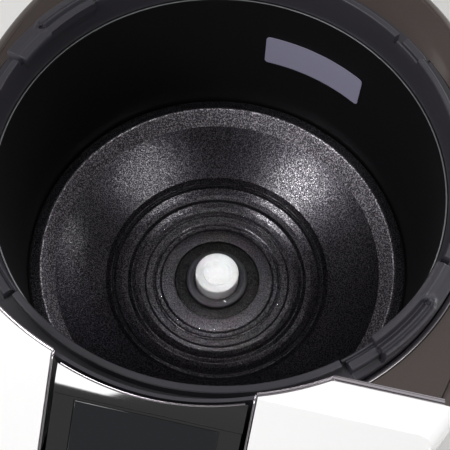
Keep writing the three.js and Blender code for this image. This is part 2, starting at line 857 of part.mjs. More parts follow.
// Bright trim along the fascia's collar arc and along its rear edge, one on each side
function makeTrim(side) {
  const low = fasciaTop - trimDepth + seatGap;
  const arc = tube(fasciaRingRadius + seatGap, trimOuter, low, fasciaTop, wideSides);
  const keep = block(panelOpening, far, -far, fasciaRearY + seatGap + trimWidth, -far, far);
  const rear = cut(block(0, far, fasciaRearY + seatGap, fasciaRearY + seatGap + trimWidth, low, fasciaTop),
    rod(fasciaRingRadius + seatGap, -far, far, wideSides));
  const trim = join(arc.intersect(keep), rear.intersect(fasciaHull));
  const geometry = geometryOf(trim);
  return side > 0 ? geometry : geometry.scale(-1, 1, 1);
}
add(cooker, 'fascia_trim_right', makeTrim(1), 'chrome');
add(cooker, 'fascia_trim_left', makeTrim(-1), 'chrome');

// Control panel with its bezel, display, keys and board
const keyPlaces = keyNames.map((_, i) => (i - (keyNames.length - 1) / 2) * keyPitch);

function keyPlate(grow, low, high) {
  return roundedPlate(keyWidth + 2 * grow, keyHeight + 2 * grow, keyHeight / 3 + grow, low, high);
}

function makePanel() {
  const sheet = cut(panelFace.intersect(panelZone(panelHalfWidth, panelLowZ)),
    rod(fasciaRingRadius + seatGap + bezelWidth + seatGap, -far, far, wideSides));
  const window = onSlope(boxGeometry(-displayWidth / 2 - seatGap, displayWidth / 2 + seatGap,
    -displayDistance - displayHeight / 2 - seatGap, -displayDistance + displayHeight / 2 + seatGap,
    -displayWall - seatGap, overrun));
  const holes = keyPlaces.map((x) => (
    onSlope(keyPlate(slideGap, -panelWall - overrun, overrun).translate(x, -keyDistance, 0))));
  const standoffs = boardStandoffs.map(([x, y]) => {
    const post = new THREE.CylinderGeometry(standoffRadius, standoffRadius,
      controlBoardDepth - panelWall / 2 - seatGap, pinSides);
    return onSlope(post.rotateX(Math.PI / 2).translate(x, y,
      -(controlBoardDepth + panelWall / 2 - seatGap) / 2));
  });
  return join(cut(sheet, window, ...holes), ...standoffs);
}
const boardCentre = -(displayDistance + keyDistance) / 2;
const boardStandoffs = [-1, 1].flatMap((side) => [-1, 1].map((end) => [
  side * (controlBoardWidth / 2 - standoffInset),
  boardCentre + end * (controlBoardLength / 2 - standoffInset),
]));
add(cooker, 'control_panel', makePanel(), 'panelGloss');

function makeBezel() {
  const inner = seatGap;
  const frame = cut(panelZone(panelHalfWidth + inner + bezelWidth, panelLowZ - inner - bezelWidth),
    panelZone(panelHalfWidth + inner, panelLowZ - inner));
  const arc = tube(fasciaRingRadius + seatGap, fasciaRingRadius + seatGap + bezelWidth, -far, far,
    wideSides);
  const top = arc.intersect(panelZone(panelHalfWidth + inner + bezelWidth, panelLowZ));
  const outside = rod(fasciaRingRadius + seatGap, -far, far, wideSides);
  return cut(panelFace.intersect(join(frame, top)), outside);
}
add(cooker, 'panel_bezel', makeBezel(), 'chrome');

const slopeGroup = new THREE.Group();
slopeGroup.position.set(0, browY, fasciaTop);
slopeGroup.rotation.x = slope;
cooker.add(slopeGroup);
add(slopeGroup, 'display_window', boxGeometry(-displayWidth / 2, displayWidth / 2,
  -displayDistance - displayHeight / 2, -displayDistance + displayHeight / 2, -displayWall, 0),
  'displayGlass');
keyNames.forEach((name, i) => {
  const key = add(slopeGroup, name, keyPlate(0, -keyStem, keyProud), 'keyGrey');
  key.position.set(keyPlaces[i], -keyDistance, 0);
});
add(slopeGroup, 'control_board', boxGeometry(-controlBoardWidth / 2, controlBoardWidth / 2,
  boardCentre - controlBoardLength / 2, boardCentre + controlBoardLength / 2,
  -controlBoardDepth - boardWall, -controlBoardDepth), 'board');

// Collar: skirt, lip, channel and outer wall, with lock blocks on two opposite sides
function makeCollar() {
  const skirtLow = ringHeight + linerHeight - skirtOverlap;
  const skirtInner = wellTopRadius + linerWall + slideGap;
  const collarLow = deckTop - deckRingWall;
  const profile = [
    [skirtInner, skirtLow], [skirtInner, ringHeight + linerHeight + slideGap],
    [lipInner, lipTop - lipRound], [lipInner + lipRound / 3, lipTop - lipRound / 3],
    [lipInner + lipRound, lipTop], [lipOuter - lipRound / 4, lipTop], [lipOuter, lipTop - lipRound / 2],
    [lipOuter, channelZ], [collarRadius, channelZ], [collarRadius, collarLow],
    [collarRadius - lipWall, collarLow], [collarRadius - lipWall, channelZ - collarFloor],
    [lipInner + skirtWall, channelZ - collarFloor], [skirtInner + skirtWall, skirtLow],
  ];
  const ring = turned(profile, wideSides);
  const inside = channelZ - collarFloor / 2;
  const added = [];
  const removed = [];
  [0, 180].forEach((turn) => {
    added.push(sector(lipOuter - lipWall / 2, collarRadius - seatGap,
      turn + blockStartAngle, turn + plainEndAngle, inside, lipTop));
    removed.push(sector(grooveInner, grooveOuter, turn + blockStartAngle - grooveLeadAngle,
      turn + grooveEndAngle, lipTop - grooveDepth, lipTop + overrun));
    [-1, 1].forEach((side) => {
      const [from, to] = [padStartAngle, padEndAngle].map((angle) => turn + side * angle)
        .sort((a, b) => a - b);
      added.push(sector(lipInner + skirtWall / 2, padOuter, from, to, inside, lipTop - padDrop));
      removed.push(sector(lipInner - overrun, padOuter, from, to, lipTop - padDrop, lipTop + overrun));
      removed.push(sector(trenchInner, trenchInner + trenchWidth, from, to,
        lipTop - padDrop - trenchDepth, lipTop + overrun));
      const slot = boxGeometry(-gapWidth / 2, gapWidth / 2, -lipOuter - overrun / 2, -lipInner + overrun,
        channelZ, lipTop + overrun);
      removed.push(solid(slot.rotateZ(THREE.MathUtils.degToRad(turn + side * gapAngle))));
    });
  });
  return cut(join(ring, ...added), ...removed);
}
add(cooker, 'collar', makeCollar(), 'satinBlack');

// Liner of the well, with the flange that carries the bowl
const rimUnderside = ringHeight + bowlRimLevel - bowlRimWall;
const flangeTop = rimUnderside - seatGap;
add(cooker, 'well_liner', turned([
  [wellFootRadius - linerFlangeWidth, flangeTop - linerFlangeWall],
  [wellFootRadius + linerWall, flangeTop - linerFlangeWall],
  [wellTopRadius + linerWall, ringHeight + linerHeight], [wellTopRadius, ringHeight + linerHeight],
  [wellFootRadius, flangeTop], [wellFootRadius - linerFlangeWidth, flangeTop],
], wideSides), 'linerBlack');
add(cooker, 'label_plate', sector(plateRadius - plateWall, plateRadius, plateStartAngle, plateEndAngle,
  ringHeight + plateLow, ringHeight + plateHigh), 'barePlate');

// Bowl: ridged floor, spherical dish, steep band and flat rim
const dishSteps = dishStepShares.map((share) => (
  ridgeZoneRadius + share * (bandFootRadius - ridgeZoneRadius)));
const bowlTop = [
  ...ridgeShares.map(([radiusShare, dropShare]) => [
    bowlHoleRadius + radiusShare * (ridgeZoneRadius - bowlHoleRadius),
    dishAt(ridgeZoneRadius) - dropShare * floorDrop,
  ]),
  ...dishSteps.map((radius) => [radius, dishAt(radius)]),
  [bandTopRadius, bowlRimLevel], [bowlRimRadius, bowlRimLevel],
];
const bowlUnder = [
  [bowlRimRadius, bowlRimLevel - bowlRimWall], [bandTopRadius + bowlRimWall / 4,
    bowlRimLevel - bowlRimWall],
  [bandFootRadius + bowlWall / 4, dishAt(bandFootRadius) - bowlWall],
  ...underStepShares.map((share) => {
    const radius = ridgeZoneRadius + share * (bandFootRadius - ridgeZoneRadius);
    return [radius, dishAt(radius) - bowlWall];
  }),
  [ridgeZoneRadius, dishAt(ridgeZoneRadius) - bowlWall], [flatReach, floorLevel - bowlWall],
  [bowlHoleRadius, floorLevel - bowlWall],
];
const lifted = (profile) => profile.map(([radius, level]) => [radius, level + ringHeight]);
add(cooker, 'heating_bowl', turned(lifted([...bowlTop, ...bowlUnder]), bowlSides), 'bowlCoating');

// Sensor: rubber seat, cup, sprung cap
const cupBottom = cupTop - cupDepth;
const boreFloor = cupBottom + cupFloor;
const carrierFlat = carrierUnderside(0);
add(cooker, 'seat_ring', tube(cupRadius + seatGap, seatRingOuter,
  ringHeight + seatRingTop - seatRingWall, ringHeight + seatRingTop, bowlSides), 'rubber');
add(cooker, 'sensor_cup', turned(lifted([
  [cupBore, cupTop], [cupRadius - capChamfer, cupTop], [cupRadius, cupTop - capChamfer],
  [cupRadius, carrierFlat - seatGap], [cupFlangeRadius, carrierFlat - seatGap],
  [cupFlangeRadius, carrierFlat - seatGap - cupFlangeWall], [cupRadius,
    carrierFlat - seatGap - cupFlangeWall],
  [cupRadius, cupBottom], [cupHole, cupBottom], [cupHole, boreFloor], [cupBore, boreFloor],
]), smallSides), 'linerBlack');
add(cooker, 'sensor_cap', turned(lifted([
  [0, capTop], [capRadius - capChamfer, capTop], [capRadius, capTop - capChamfer],
  [capRadius, capTop - capHeight], [capRadius - capWall, capTop - capHeight],
  [capRadius - capWall, capTop - capWall], [0, capTop - capWall],
]), smallSides), 'sensorAluminium');
add(cooker, 'sensor_spring', coilSpring(sensorSpringRadius, sensorWire, sensorSpringTurns,
  ringHeight + boreFloor + seatGap, ringHeight + capTop - capWall - seatGap), 'steel');

// Coils, their carrier and ferrites
const coilUnderBowl = bowlWall + coilGap;
add(cooker, 'coil_inner', tube(innerCoilStart, innerCoilEnd,
  ringHeight + floorLevel - coilUnderBowl - coilThickness,
  ringHeight + floorLevel - coilUnderBowl, bowlSides), 'copper');
const outerCoilRadii = coilSlopeShares.map((share) => (
  outerCoilStart + share * (outerCoilEnd - outerCoilStart)));
add(cooker, 'coil_outer', turned(lifted([
  ...outerCoilRadii.map((radius) => [radius, dishAt(radius) - coilUnderBowl - coilThickness]),
  ...outerCoilRadii.toReversed().map((radius) => [radius, dishAt(radius) - coilUnderBowl]),
]), bowlSides), 'copper');
const carrierRadii = [carrierKnee, ...carrierSlopeShares.map((share) => (
  outerCoilStart + share * (carrierRadius - outerCoilStart)))];
add(cooker, 'coil_carrier', turned(lifted([
  [carrierBore, carrierFlat], ...carrierRadii.map((radius) => [radius, carrierUnderside(radius)]),
  ...carrierRadii.toReversed().map((radius) => [radius, carrierUnderside(radius) + carrierWall]),
  [carrierBore, carrierFlat + carrierWall],
]), bowlSides), 'linerBlack');
const ferriteTop = ringHeight + carrierFlat - seatGap;
const ferrites = Array.from({ length: ferriteCount }, (_, i) => {
  const bar = boxGeometry(ferriteStart, ferriteEnd, -ferriteWidth / 2, ferriteWidth / 2,
    ferriteTop - ferriteHeight, ferriteTop);
  return solid(bar.rotateZ(i * Math.PI * 2 / ferriteCount));
});
const ferriteHub = tube(ferriteStart, ferriteStart + ferriteHeight, ferriteTop - ferriteHeight,
  ferriteTop, bowlSides);
add(cooker, 'ferrite_star', join(ferriteHub, ...ferrites), 'ferrite');

// Fan on the base pan, over its slots
const fanLow = panWall + seatGap;

function makeFanFrame() {
  const half = fanSize / 2;
  const plate = block(-half, half, -half, half, fanLow, fanLow + fanHeight);
  const bore = rod(fanBore, fanLow - overrun, fanLow + fanHeight + overrun, bowlSides);
  const seat = rod(fanHubRadius, fanLow, fanLow + fanSeatHeight, smallSides);
  const struts = [0, 1].map((turn) => (
    solid(boxGeometry(-half + overrun / 2, half - overrun / 2, -fanStrutWidth / 2, fanStrutWidth / 2,
      fanLow, fanLow + fanSeatHeight).rotateZ(turn * Math.PI / 2))));
  return join(cut(plate, bore), seat, ...struts);
}
const fanPlace = new THREE.Group();
fanPlace.position.set(0, fanY, 0);
cooker.add(fanPlace);
add(fanPlace, 'fan_frame', makeFanFrame(), 'linerBlack');

function makeRotor() {
  const low = fanLow + fanSeatHeight + seatGap;
  const hub = rod(fanHubRadius, low, low + bladeHeight + boardWall, smallSides);
  const blades = Array.from({ length: bladeCount }, (_, i) => {
    const blade = boxGeometry(fanHubRadius / 2, bladeLength, -bladeWall / 2, bladeWall / 2,
      -bladeHeight / 2, bladeHeight / 2);
    blade.rotateX(THREE.MathUtils.degToRad(bladeTilt)).translate(0, 0,
      low + bladeHeight / 2 + boardWall / 2);
    return solid(blade.rotateZ(i * Math.PI * 2 / bladeCount));
  });
  return join(hub, ...blades);
}
add(fanPlace, 'fan_rotor', makeRotor(), 'linerBlack');

// Power electronics in front of the bowl
const boardTop = powerBoardLevel + boardWall;
add(cooker, 'power_board', boxGeometry(-powerBoardWidth / 2, powerBoardWidth / 2,
  boardFrontY, powerBoardRearY, powerBoardLevel, boardTop), 'board');

function makeHeatSink() {
  const [left, right] = [heatSinkX - heatSinkWidth / 2, heatSinkX + heatSinkWidth / 2];
  const low = boardTop + seatGap;
  const base = block(left, right, heatSinkRearY - heatSinkLength, heatSinkRearY, low, low + heatSinkBase);
  const pitch = (heatSinkWidth - finWall) / (finCount - 1);
  const fins = Array.from({ length: finCount }, (_, i) => (
    block(left + i * pitch, left + i * pitch + finWall, heatSinkRearY - heatSinkLength, heatSinkRearY,
      low + heatSinkBase / 2, low + heatSinkHeight)));
  return join(base, ...fins);
}
add(cooker, 'heat_sink', makeHeatSink(), 'aluminium');
add(cooker, 'capacitor', rod(capacitorRadius, boardTop + seatGap, boardTop + seatGap + capacitorHeight,
  smallSides, capacitorX, capacitorY), 'ferrite');

// Mains inlet in the back of the shell
function makeInlet() {
  const rearY = inletFaceY - inletDepth;
  const body = block(-inletWidth / 2, inletWidth / 2, rearY, inletFaceY, -inletHeight / 2, inletHeight / 2);
  const flange = block(-inletWidth / 2 - inletFlange, inletWidth / 2 + inletFlange,
    inletFaceY - inletFlangeWall / 2, inletFaceY + inletFlangeWall / 2,
    -inletHeight / 2 - inletFlange, inletHeight / 2 + inletFlange);
  const cavityBack = inletFaceY - inletCavity;
  const cavity = block(-inletWidth / 2 + inletWall, inletWidth / 2 - inletWall, cavityBack,
    inletFaceY + overrun,
    -inletHeight / 2 + inletWall, inletHeight / 2 - inletWall);
  const pins = [[-1, -1], [0, 1], [1, -1]].map(([x, z]) => block(
    x * inletPinPitch - inletPinWidth / 2, x * inletPinPitch + inletPinWidth / 2,
    cavityBack - inletWall / 2, cavityBack + inletPinLength,
    z * inletPinRise - inletPinHeight / 2, z * inletPinRise + inletPinHeight / 2));
  return join(cut(join(body, flange), cavity), ...pins);
}
add(cooker, 'power_inlet', makeInlet(), 'satinBlack').position.set(inletX, 0, inletLevel);

// Hinge bracket on the deck, its pin and spring
function makeBracket() {
  const low = deckTop + seatGap;
  const plate = block(-earEnd, earEnd, hingeY - bracketHalfDepth, hingeY + bracketHalfDepth, low,
    low + bracketWall);
  const ears = [-1, 1].map((side) => {
    const [left, right] = [side * earStart, side * earEnd].sort((a, b) => a - b);
    return join(crossRod(knuckleRadius, left, right, smallSides, hingeY, hingeZ),
      block(left, right, hingeY - bracketHalfDepth, hingeY + bracketHalfDepth, low, hingeZ));
  });
  const bore = crossRod(hingePinRadius + seatGap, -far, far, pinSides, hingeY, hingeZ);
  return cut(join(plate, ...ears), bore);
}
add(cooker, 'hinge_bracket', makeBracket(), 'satinBlack');
add(cooker, 'hinge_pin', crossRod(hingePinRadius, -hingePinHalf, hingePinHalf, pinSides, hingeY,
  hingeZ), 'steel');
const hingeSpring = add(cooker, 'hinge_spring', coilSpring(hingeSpringRadius, hingeSpringWire,
  hingeSpringTurns,
  -hingeSpringHalf, hingeSpringHalf), 'steel');
hingeSpring.rotation.y = Math.PI / 2;
hingeSpring.position.set(0, hingeY, hingeZ);

// The lid's pieces are described shut and swung open about the hinge pin
const lidSwing = new THREE.Group();
lidSwing.position.set(0, hingeY, hingeZ);
lidSwing.rotation.x = -THREE.MathUtils.degToRad(openAngle);
cooker.add(lidSwing);
const lid = new THREE.Group();
lid.position.set(0, -hingeY, -hingeZ);
lidSwing.add(lid);

const plateLowZ = lidBottom + linerPlateLevel;
const plateTopZ = plateLowZ + linerPlateWall;
const innerLidZ = lidBottom + innerLidLevel;
const pivotZ = lidBottom + latchPivotRise;
const bore = spindleRadius + slideGap;
const [ventX, ventY] = around(ventRing, 180);
const [floatX, floatY] = around(ventRing, floatAngle);

// Outer height of the dome at a radius
function domeAt(radius) {
  const share = Math.max(0, (radius - crownRadius) / (lidRadius - crownRadius));
  return crownZ - domeRise + domeRise * Math.sqrt(Math.max(0, 1 - share ** 2));
}

// Dome outline from the rim to the crown, set in by a wall
function domeProfile(wall) {
  const points = [];
  for (let i = 0; i <= domeSteps; i += 1) {
    const angle = (i / domeSteps) * Math.PI / 2;
    points.push([crownRadius + (lidRadius - wall - crownRadius) * Math.cos(angle),
      crownZ - domeRise + (domeRise - wall) * Math.sin(angle)]);
  }
  return points;
}

function makeLidShell() {
  const shell = turned([
    [lidRadius, lidBottom], ...domeProfile(0), [bore, crownZ], [bore, crownZ - lidWall],
    ...domeProfile(lidWall).toReversed(), [lidRadius - lidWall, lidBottom],
  ], wideSides);
  const ventWell = rod(ventWellRadius, plateTopZ + overrun, far, smallSides, ventX, ventY);
  const floatHole = rod(floatRadius + slideGap, plateTopZ + overrun, far, pinSides, floatX, floatY);
  const buttonHole = solid(roundedPlate(buttonWidth + slideGap * 2, buttonDepth + slideGap * 2,
    buttonRound + slideGap, pivotZ + overrun, far).translate(0, buttonY, 0));
  const armNotch = block(-latchWidth / 2 - slideGap * 3, latchWidth / 2 + slideGap * 3,
    -lidRadius - overrun,
    -lidRadius + lidWall + overrun, lidBottom - overrun, lidBottom + latchBarLevel + latchWall * 2);
  return cut(shell, ventWell, floatHole, buttonHole, armNotch);
}
add(lid, 'lid_shell', makeLidShell(), 'brownMetal');

function makeLidLiner() {
  const plate = tube(bore, lidRadius - lidWall - seatGap, plateLowZ, plateTopZ, wideSides);
  const lugs = [-1, 1].map((side) => {
    const [left, right] = [side * lugStart, side * latchPinHalf].sort((a, b) => a - b);
    return block(left, right, latchPivotY - lugHalfDepth, latchPivotY + lugHalfDepth,
      plateTopZ - linerPlateWall / 2, pivotZ + lugHalfDepth);
  });
  const pinHole = crossRod(latchPinRadius + seatGap, -far, far, pinSides, latchPivotY, pivotZ);
  const ventHole = rod(ventSeatRadius + slideGap, -far, far, smallSides, ventX, ventY);
  const floatHole = rod(floatRadius + slideGap, -far, far, pinSides, floatX, floatY);
  const armNotch = block(-latchWidth / 2 - slideGap * 3, latchWidth / 2 + slideGap * 3, -far,
    latchArmY + latchWall + latchNoseReach + slideGap * 2, plateLowZ - overrun, plateTopZ + overrun);
  const posts = Array.from({ length: spokeCount }, (_, i) => {
    const [x, y] = around(postRing, spokeStartAngle + (i + 1 / 2) * 360 / spokeCount);
    return rod(lidPostRadius, innerLidZ + innerLidWall + seatGap, plateTopZ, pinSides, x, y);
  });
  return cut(join(plate, ...lugs, ...posts), pinHole, ventHole, floatHole, armNotch);
}
add(lid, 'lid_liner', makeLidLiner(), 'satinBlack');

// Hinge arm: two knuckles on the pin and a block that follows the rear of the lid
function makeHingeArm() {
  const knuckles = [-1, 1].map((side) => {
    const [left, right] = [side * knuckleStart, side * knuckleEnd].sort((a, b) => a - b);
    return crossRod(knuckleRadius, left, right, smallSides, hingeY, hingeZ);
  });
  const web = cut(
    block(-knuckleEnd, knuckleEnd, lidRadius - knuckleRadius, hingeY - armBottom, hingeZ + armBottom,
      hingeZ + armTop),
    rod(lidRadius + seatGap, -far, far, wideSides),
    crossRod(hingeSpringRadius + hingeSpringWire * 2, -knuckleStart, knuckleStart, smallSides,
      hingeY, hingeZ));
  return cut(join(web, ...knuckles), crossRod(hingePinRadius + seatGap, -far, far, pinSides, hingeY,
    hingeZ));
}
add(lid, 'lid_hinge_arm', makeHingeArm(), 'satinBlack');

// Inner lid plate and its sealing ring
const [ventHoleInLid, floatHoleInLid] = [
  rod(ventSeatRadius + slideGap, -far, far, smallSides, ventX, ventY),
  rod(floatRadius + slideGap, -far, far, pinSides, floatX, floatY),
];
add(lid, 'inner_lid', cut(turned([
  [0, innerLidZ - innerLidDish], [innerLidDishRadius, innerLidZ - innerLidDish],
  [innerLidDishRadius + innerLidDish * 2, innerLidZ], [innerLidRadius, innerLidZ],
  [innerLidRadius, innerLidZ + innerLidWall], [innerLidDishRadius + innerLidDish, innerLidZ + innerLidWall],
  [innerLidDishRadius - innerLidDish, innerLidZ - innerLidDish + innerLidWall],
  [0, innerLidZ - innerLidDish + innerLidWall],
], bowlSides), ventHoleInLid, floatHoleInLid), 'steel');
const gasketTop = innerLidZ - seatGap;
add(lid, 'lid_gasket', turned([
  [gasketInner, gasketTop], [gasketOuter, gasketTop], [gasketOuter, gasketTop - gasketHeight],
  [gasketOuter - gasketLip, gasketTop - gasketHeight], [gasketOuter - gasketLip * 2, gasketTop - gasketLip],
  [gasketInner, gasketTop - gasketLip],
], bowlSides), 'silicone');

// Lock ring with its two fins, turned by the knob on the lid
function makeLockRing() {
  const low = lidBottom + lockLevel;
  const high = low + lockWall;
  const ring = tube(lockInner, finOuterRadius, low, high, wideSides);
  const hub = rod(hubRadius, low, high, smallSides);
  const spokes = Array.from({ length: spokeCount }, (_, i) => {
    const spoke = boxGeometry(-spokeWidth / 2, spokeWidth / 2, -lockInner - lockWall, -hubRadius / 2,
      low, high);
    return solid(spoke.rotateZ(THREE.MathUtils.degToRad(spokeStartAngle + i * 360 / spokeCount)));
  });
  const fins = [0, 180].map((turn) => (
    sector(finInnerRadius, finOuterRadius, turn + finStartAngle, turn + finEndAngle,
      lidBottom - finReach, high)));
  return join(ring, hub, ...spokes, ...fins);
}
add(lid, 'lock_ring', makeLockRing(), 'steel');
const spindleLow = lidBottom + lockLevel + lockWall + seatGap;
add(lid, 'lock_spindle', rod(spindleRadius, spindleLow, crownZ + knobGap + knobSocket, smallSides),
  'steel');

function makeKnob() {
  const low = crownZ + knobGap;
  const body = turned([[0, low], [knobRadius - knobRound, low], [knobRadius, low + knobRound],
    [knobRadius - knobRound, low + knobHeight - knobRound], [knobRadius - knobRound * 2, low + knobHeight],
    [0, low + knobHeight]], bowlSides);
  const grip = solid(roundedPlate(knobRadius * 2 - knobRound * 3, knobGripWidth, knobGripWidth / 3,
    low + knobHeight / 2, low + knobHeight + knobGrip));
  const socket = rod(spindleRadius + seatGap, low - overrun, low + knobSocket + seatGap, smallSides);
  return cut(join(body, grip), socket);
}
add(lid, 'lock_knob', makeKnob(), 'satinBlack');

// Pressure vent: seat through the lid, weighted cap that lifts off it
const seatLow = lidBottom - ventSeatBottom;
const seatHigh = lidBottom + ventSeatTop;
add(lid, 'vent_seat', cut(join(
  rod(ventSeatRadius, seatLow, seatHigh, smallSides, ventX, ventY),
  rod(ventFlangeRadius, seatHigh - ventFlangeWall, seatHigh, smallSides, ventX, ventY),
), rod(ventBore, -far, far, pinSides, ventX, ventY)), 'steel');
add(lid, 'vent_weight', turned([
  [0, seatHigh - ventStemLength], [ventStemRadius, seatHigh - ventStemLength],
  [ventStemRadius, seatHigh + seatGap], [ventCapRadius, seatHigh + seatGap],
  [ventCapRadius, seatHigh + ventCapHeight - ventCapRound],
  [ventCapRadius - ventCapRound, seatHigh + ventCapHeight], [0, seatHigh + ventCapHeight],
], smallSides), 'satinBlack').position.set(ventX, ventY, 0);
const floatLow = innerLidZ - innerLidDish - floatHeadDrop;
add(lid, 'float_pin', turned([
  [0, floatLow], [floatHeadRadius, floatLow], [floatHeadRadius, floatLow + floatHeadHeight],
  [floatRadius, floatLow + floatHeadHeight], [floatRadius, floatLow + floatLength], [0,
    floatLow + floatLength],
], smallSides), 'silicone').position.set(floatX, floatY, 0);

// Latch: hook on its pin, and the button that tips it
function makeHook() {
  const barZ = lidBottom + latchBarLevel;
  const noseLow = lidBottom - latchNoseDrop;
  const half = latchWidth / 2;
  const armInner = latchArmY + latchWall;
  const bar = block(-half, half, latchArmY, latchPivotY, barZ, barZ + latchWall);
  const arm = block(-half, half, latchArmY, armInner, noseLow, barZ + latchWall);
  const nose = block(-half, half, latchArmY - latchNoseReach, armInner, noseLow, noseLow + latchNoseHeight);
  const barrel = crossRod(latchBarrelRadius, -latchBarrelHalf, latchBarrelHalf, smallSides,
    latchPivotY, pivotZ);
  const web = block(-latchBarrelHalf, latchBarrelHalf, latchPivotY - latchWall,
    latchPivotY + latchWall, barZ, pivotZ);
  const hole = crossRod(latchPinRadius + seatGap, -far, far, pinSides, latchPivotY, pivotZ);
  return cut(join(bar, arm, nose, barrel, web), hole);
}
add(lid, 'latch_hook', makeHook(), 'steel');
add(lid, 'latch_pin', crossRod(latchPinRadius, -latchPinHalf, latchPinHalf, pinSides, latchPivotY,
  pivotZ), 'steel');
const latchSpring = add(lid, 'latch_spring', coilSpring(latchSpringRadius, latchSpringWire,
  latchSpringTurns,
  latchBarrelHalf + seatGap, lugStart - seatGap), 'steel');
latchSpring.rotation.y = Math.PI / 2;
latchSpring.position.set(0, latchPivotY, pivotZ);

const buttonLow = lidBottom + latchBarLevel + latchWall + seatGap;
add(lid, 'open_button', roundedPlate(buttonWidth, buttonDepth, buttonRound, buttonLow,
  lidBottom + buttonTop),
  'satinBlack').position.set(0, buttonY, 0);

export default cooker;
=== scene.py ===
# %% [markdown]
# # An open multicooker, looked down into
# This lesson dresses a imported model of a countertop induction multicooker. The lid is open and
# the cooking pot is out, so the picture is all about the well: a speckled bowl, a bright sensor
# cap, a black wall and a moulded collar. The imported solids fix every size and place, and each
# piece made here rides on the body that it belongs to, so the lid, keys and valves still move.

# %% Load the frame and keep the size of the solids
import json
import math
import bmesh
import bpy
import numpy as np
from mathutils import Matrix, Vector


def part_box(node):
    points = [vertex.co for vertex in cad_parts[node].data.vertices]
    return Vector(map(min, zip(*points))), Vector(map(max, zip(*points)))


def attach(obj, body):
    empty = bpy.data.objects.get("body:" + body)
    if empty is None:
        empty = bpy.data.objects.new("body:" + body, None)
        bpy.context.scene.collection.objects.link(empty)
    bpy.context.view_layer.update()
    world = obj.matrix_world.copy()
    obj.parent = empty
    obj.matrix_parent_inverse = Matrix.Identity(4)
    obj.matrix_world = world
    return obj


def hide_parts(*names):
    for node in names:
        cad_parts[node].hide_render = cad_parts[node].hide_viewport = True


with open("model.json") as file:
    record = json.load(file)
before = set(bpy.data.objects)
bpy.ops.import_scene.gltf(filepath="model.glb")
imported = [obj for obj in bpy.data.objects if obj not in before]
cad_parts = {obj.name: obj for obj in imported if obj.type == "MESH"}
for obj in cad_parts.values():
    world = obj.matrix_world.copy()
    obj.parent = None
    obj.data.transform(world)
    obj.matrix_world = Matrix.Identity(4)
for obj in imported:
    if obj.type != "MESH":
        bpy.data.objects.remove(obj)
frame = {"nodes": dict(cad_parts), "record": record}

slot_of = {part["node"]: part["material_slot"] for part in frame["record"]["subparts"]}
body_of = {node: body for body, nodes in frame["record"]["behaviour"]["bodies"].items() for node in nodes}
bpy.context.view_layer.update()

# %% [markdown]
# ## Sizes
# A model in metres is awkward to read, so sizes are written in millimetres and turned into
# metres in one place. Levels come from the solids' own boxes wherever a solid has them.

# %% Millimetres, and the levels that several pieces share
MM = 0.001


def low_of(node, axis=2):
    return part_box(node)[0][axis] / MM


def high_of(node, axis=2):
    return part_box(node)[1][axis] / MM


RIM_ABOVE_RING = 1.5
ring_z = high_of("heating_bowl") - RIM_ABOVE_RING
lip_z = high_of("collar")
deck_z = high_of("top_deck")
fascia_z = high_of("front_fascia")
print("levels:", [round(z, 2) for z in (ring_z, lip_z, deck_z, fascia_z)])

# %% [markdown]
# ## The camera
# The picture was taken from in front and above, a little to the right, with a longish lens. A
# camera is one matrix: three columns for its right, up and backward directions, and its place.
# The turn about Z brings the camera round to the right of the control panel.

# %% Camera at the picture's viewing angle
CAMERA_TURN = 12.15
CAMERA_RIGHT = (0.999766, 0.00688, 0.0205)
CAMERA_UP = (-0.015449, 0.890597, 0.454531)
CAMERA_BACK = (-0.01513, -0.454742, 0.890495)
CAMERA_FROM_RING = (-4.8, -256.9, 548.5)
LENS = 76
turn = Matrix.Rotation(math.radians(CAMERA_TURN), 3, "Z")
camera_axes = turn @ Matrix((CAMERA_RIGHT, CAMERA_UP, CAMERA_BACK)).transposed()
camera_place = turn @ Vector(CAMERA_FROM_RING) + Vector((0, 0, ring_z))
camera_data = bpy.data.cameras.new("camera")
camera_data.lens = LENS
camera_data.sensor_width = 36
camera_data.clip_start = 0.01
camera = bpy.data.objects.new("camera", camera_data)
camera.matrix_world = Matrix.Translation(camera_place * MM) @ camera_axes.to_4x4()
bpy.context.scene.collection.objects.link(camera)
bpy.context.scene.camera = camera
print("camera at", [round(c, 1) for c in camera_place])

# %% [markdown]
# ## Finishes
# Every finish is a Principled BSDF fed by procedural patterns in Object coordinates, which are
# metres here, so a scale of 1000 gives features about a millimetre across. Patterns that
# several finishes share are node groups with named sockets: one gives fine grain, for moulded
# plastic and lacquer, and one gives the coarse speckle of a sprayed non-stick coating.

# %% Helpers that feed a node's inputs, and that start a material or a node group
def colour(red, green, blue):
    """A colour as seen on screen, 0 to 255, turned into the linear values that shaders use."""
    return tuple((c / 255) ** 2.2 for c in (red, green, blue)) + (1,)


def feed(tree, node, values):
    """Feeds a node's inputs, by name or number: a socket is linked and anything else is set."""
    for key, value in values.items():
        if isinstance(value, bpy.types.NodeSocket):
            tree.links.new(value, node.inputs[key])
        else:
            node.inputs[key].default_value = value


def wired(tree, kind, values, operation=None):
    """A new node with its operation set and its inputs fed."""
    node = tree.nodes.new(kind)
    if operation:
        node.operation = operation
    feed(tree, node, values)
    return node


def start_material(name, base, roughness, metallic=0.0, coat=0.0):
    material = bpy.data.materials.new(name)
    material.use_nodes = True
    shader = material.node_tree.nodes["Principled BSDF"]
    feed(material.node_tree, shader, {"Base Color": base, "Roughness": roughness, "Metallic": metallic,
                                      "Coat Weight": coat, "Coat Roughness": 0.06})
    return material, material.node_tree, shader


def start_group(name, inputs, outputs):
    group = bpy.data.node_groups.new(name, "ShaderNodeTree")
    for socket, kind, value in inputs:
        made = group.interface.new_socket(name=socket, in_out="INPUT", socket_type=kind)
        if value is not None:
            made.default_value = value
    for socket, kind in outputs:
        group.interface.new_socket(name=socket, in_out="OUTPUT", socket_type=kind)
    return group, group.nodes.new("NodeGroupInput"), group.nodes.new("NodeGroupOutput")


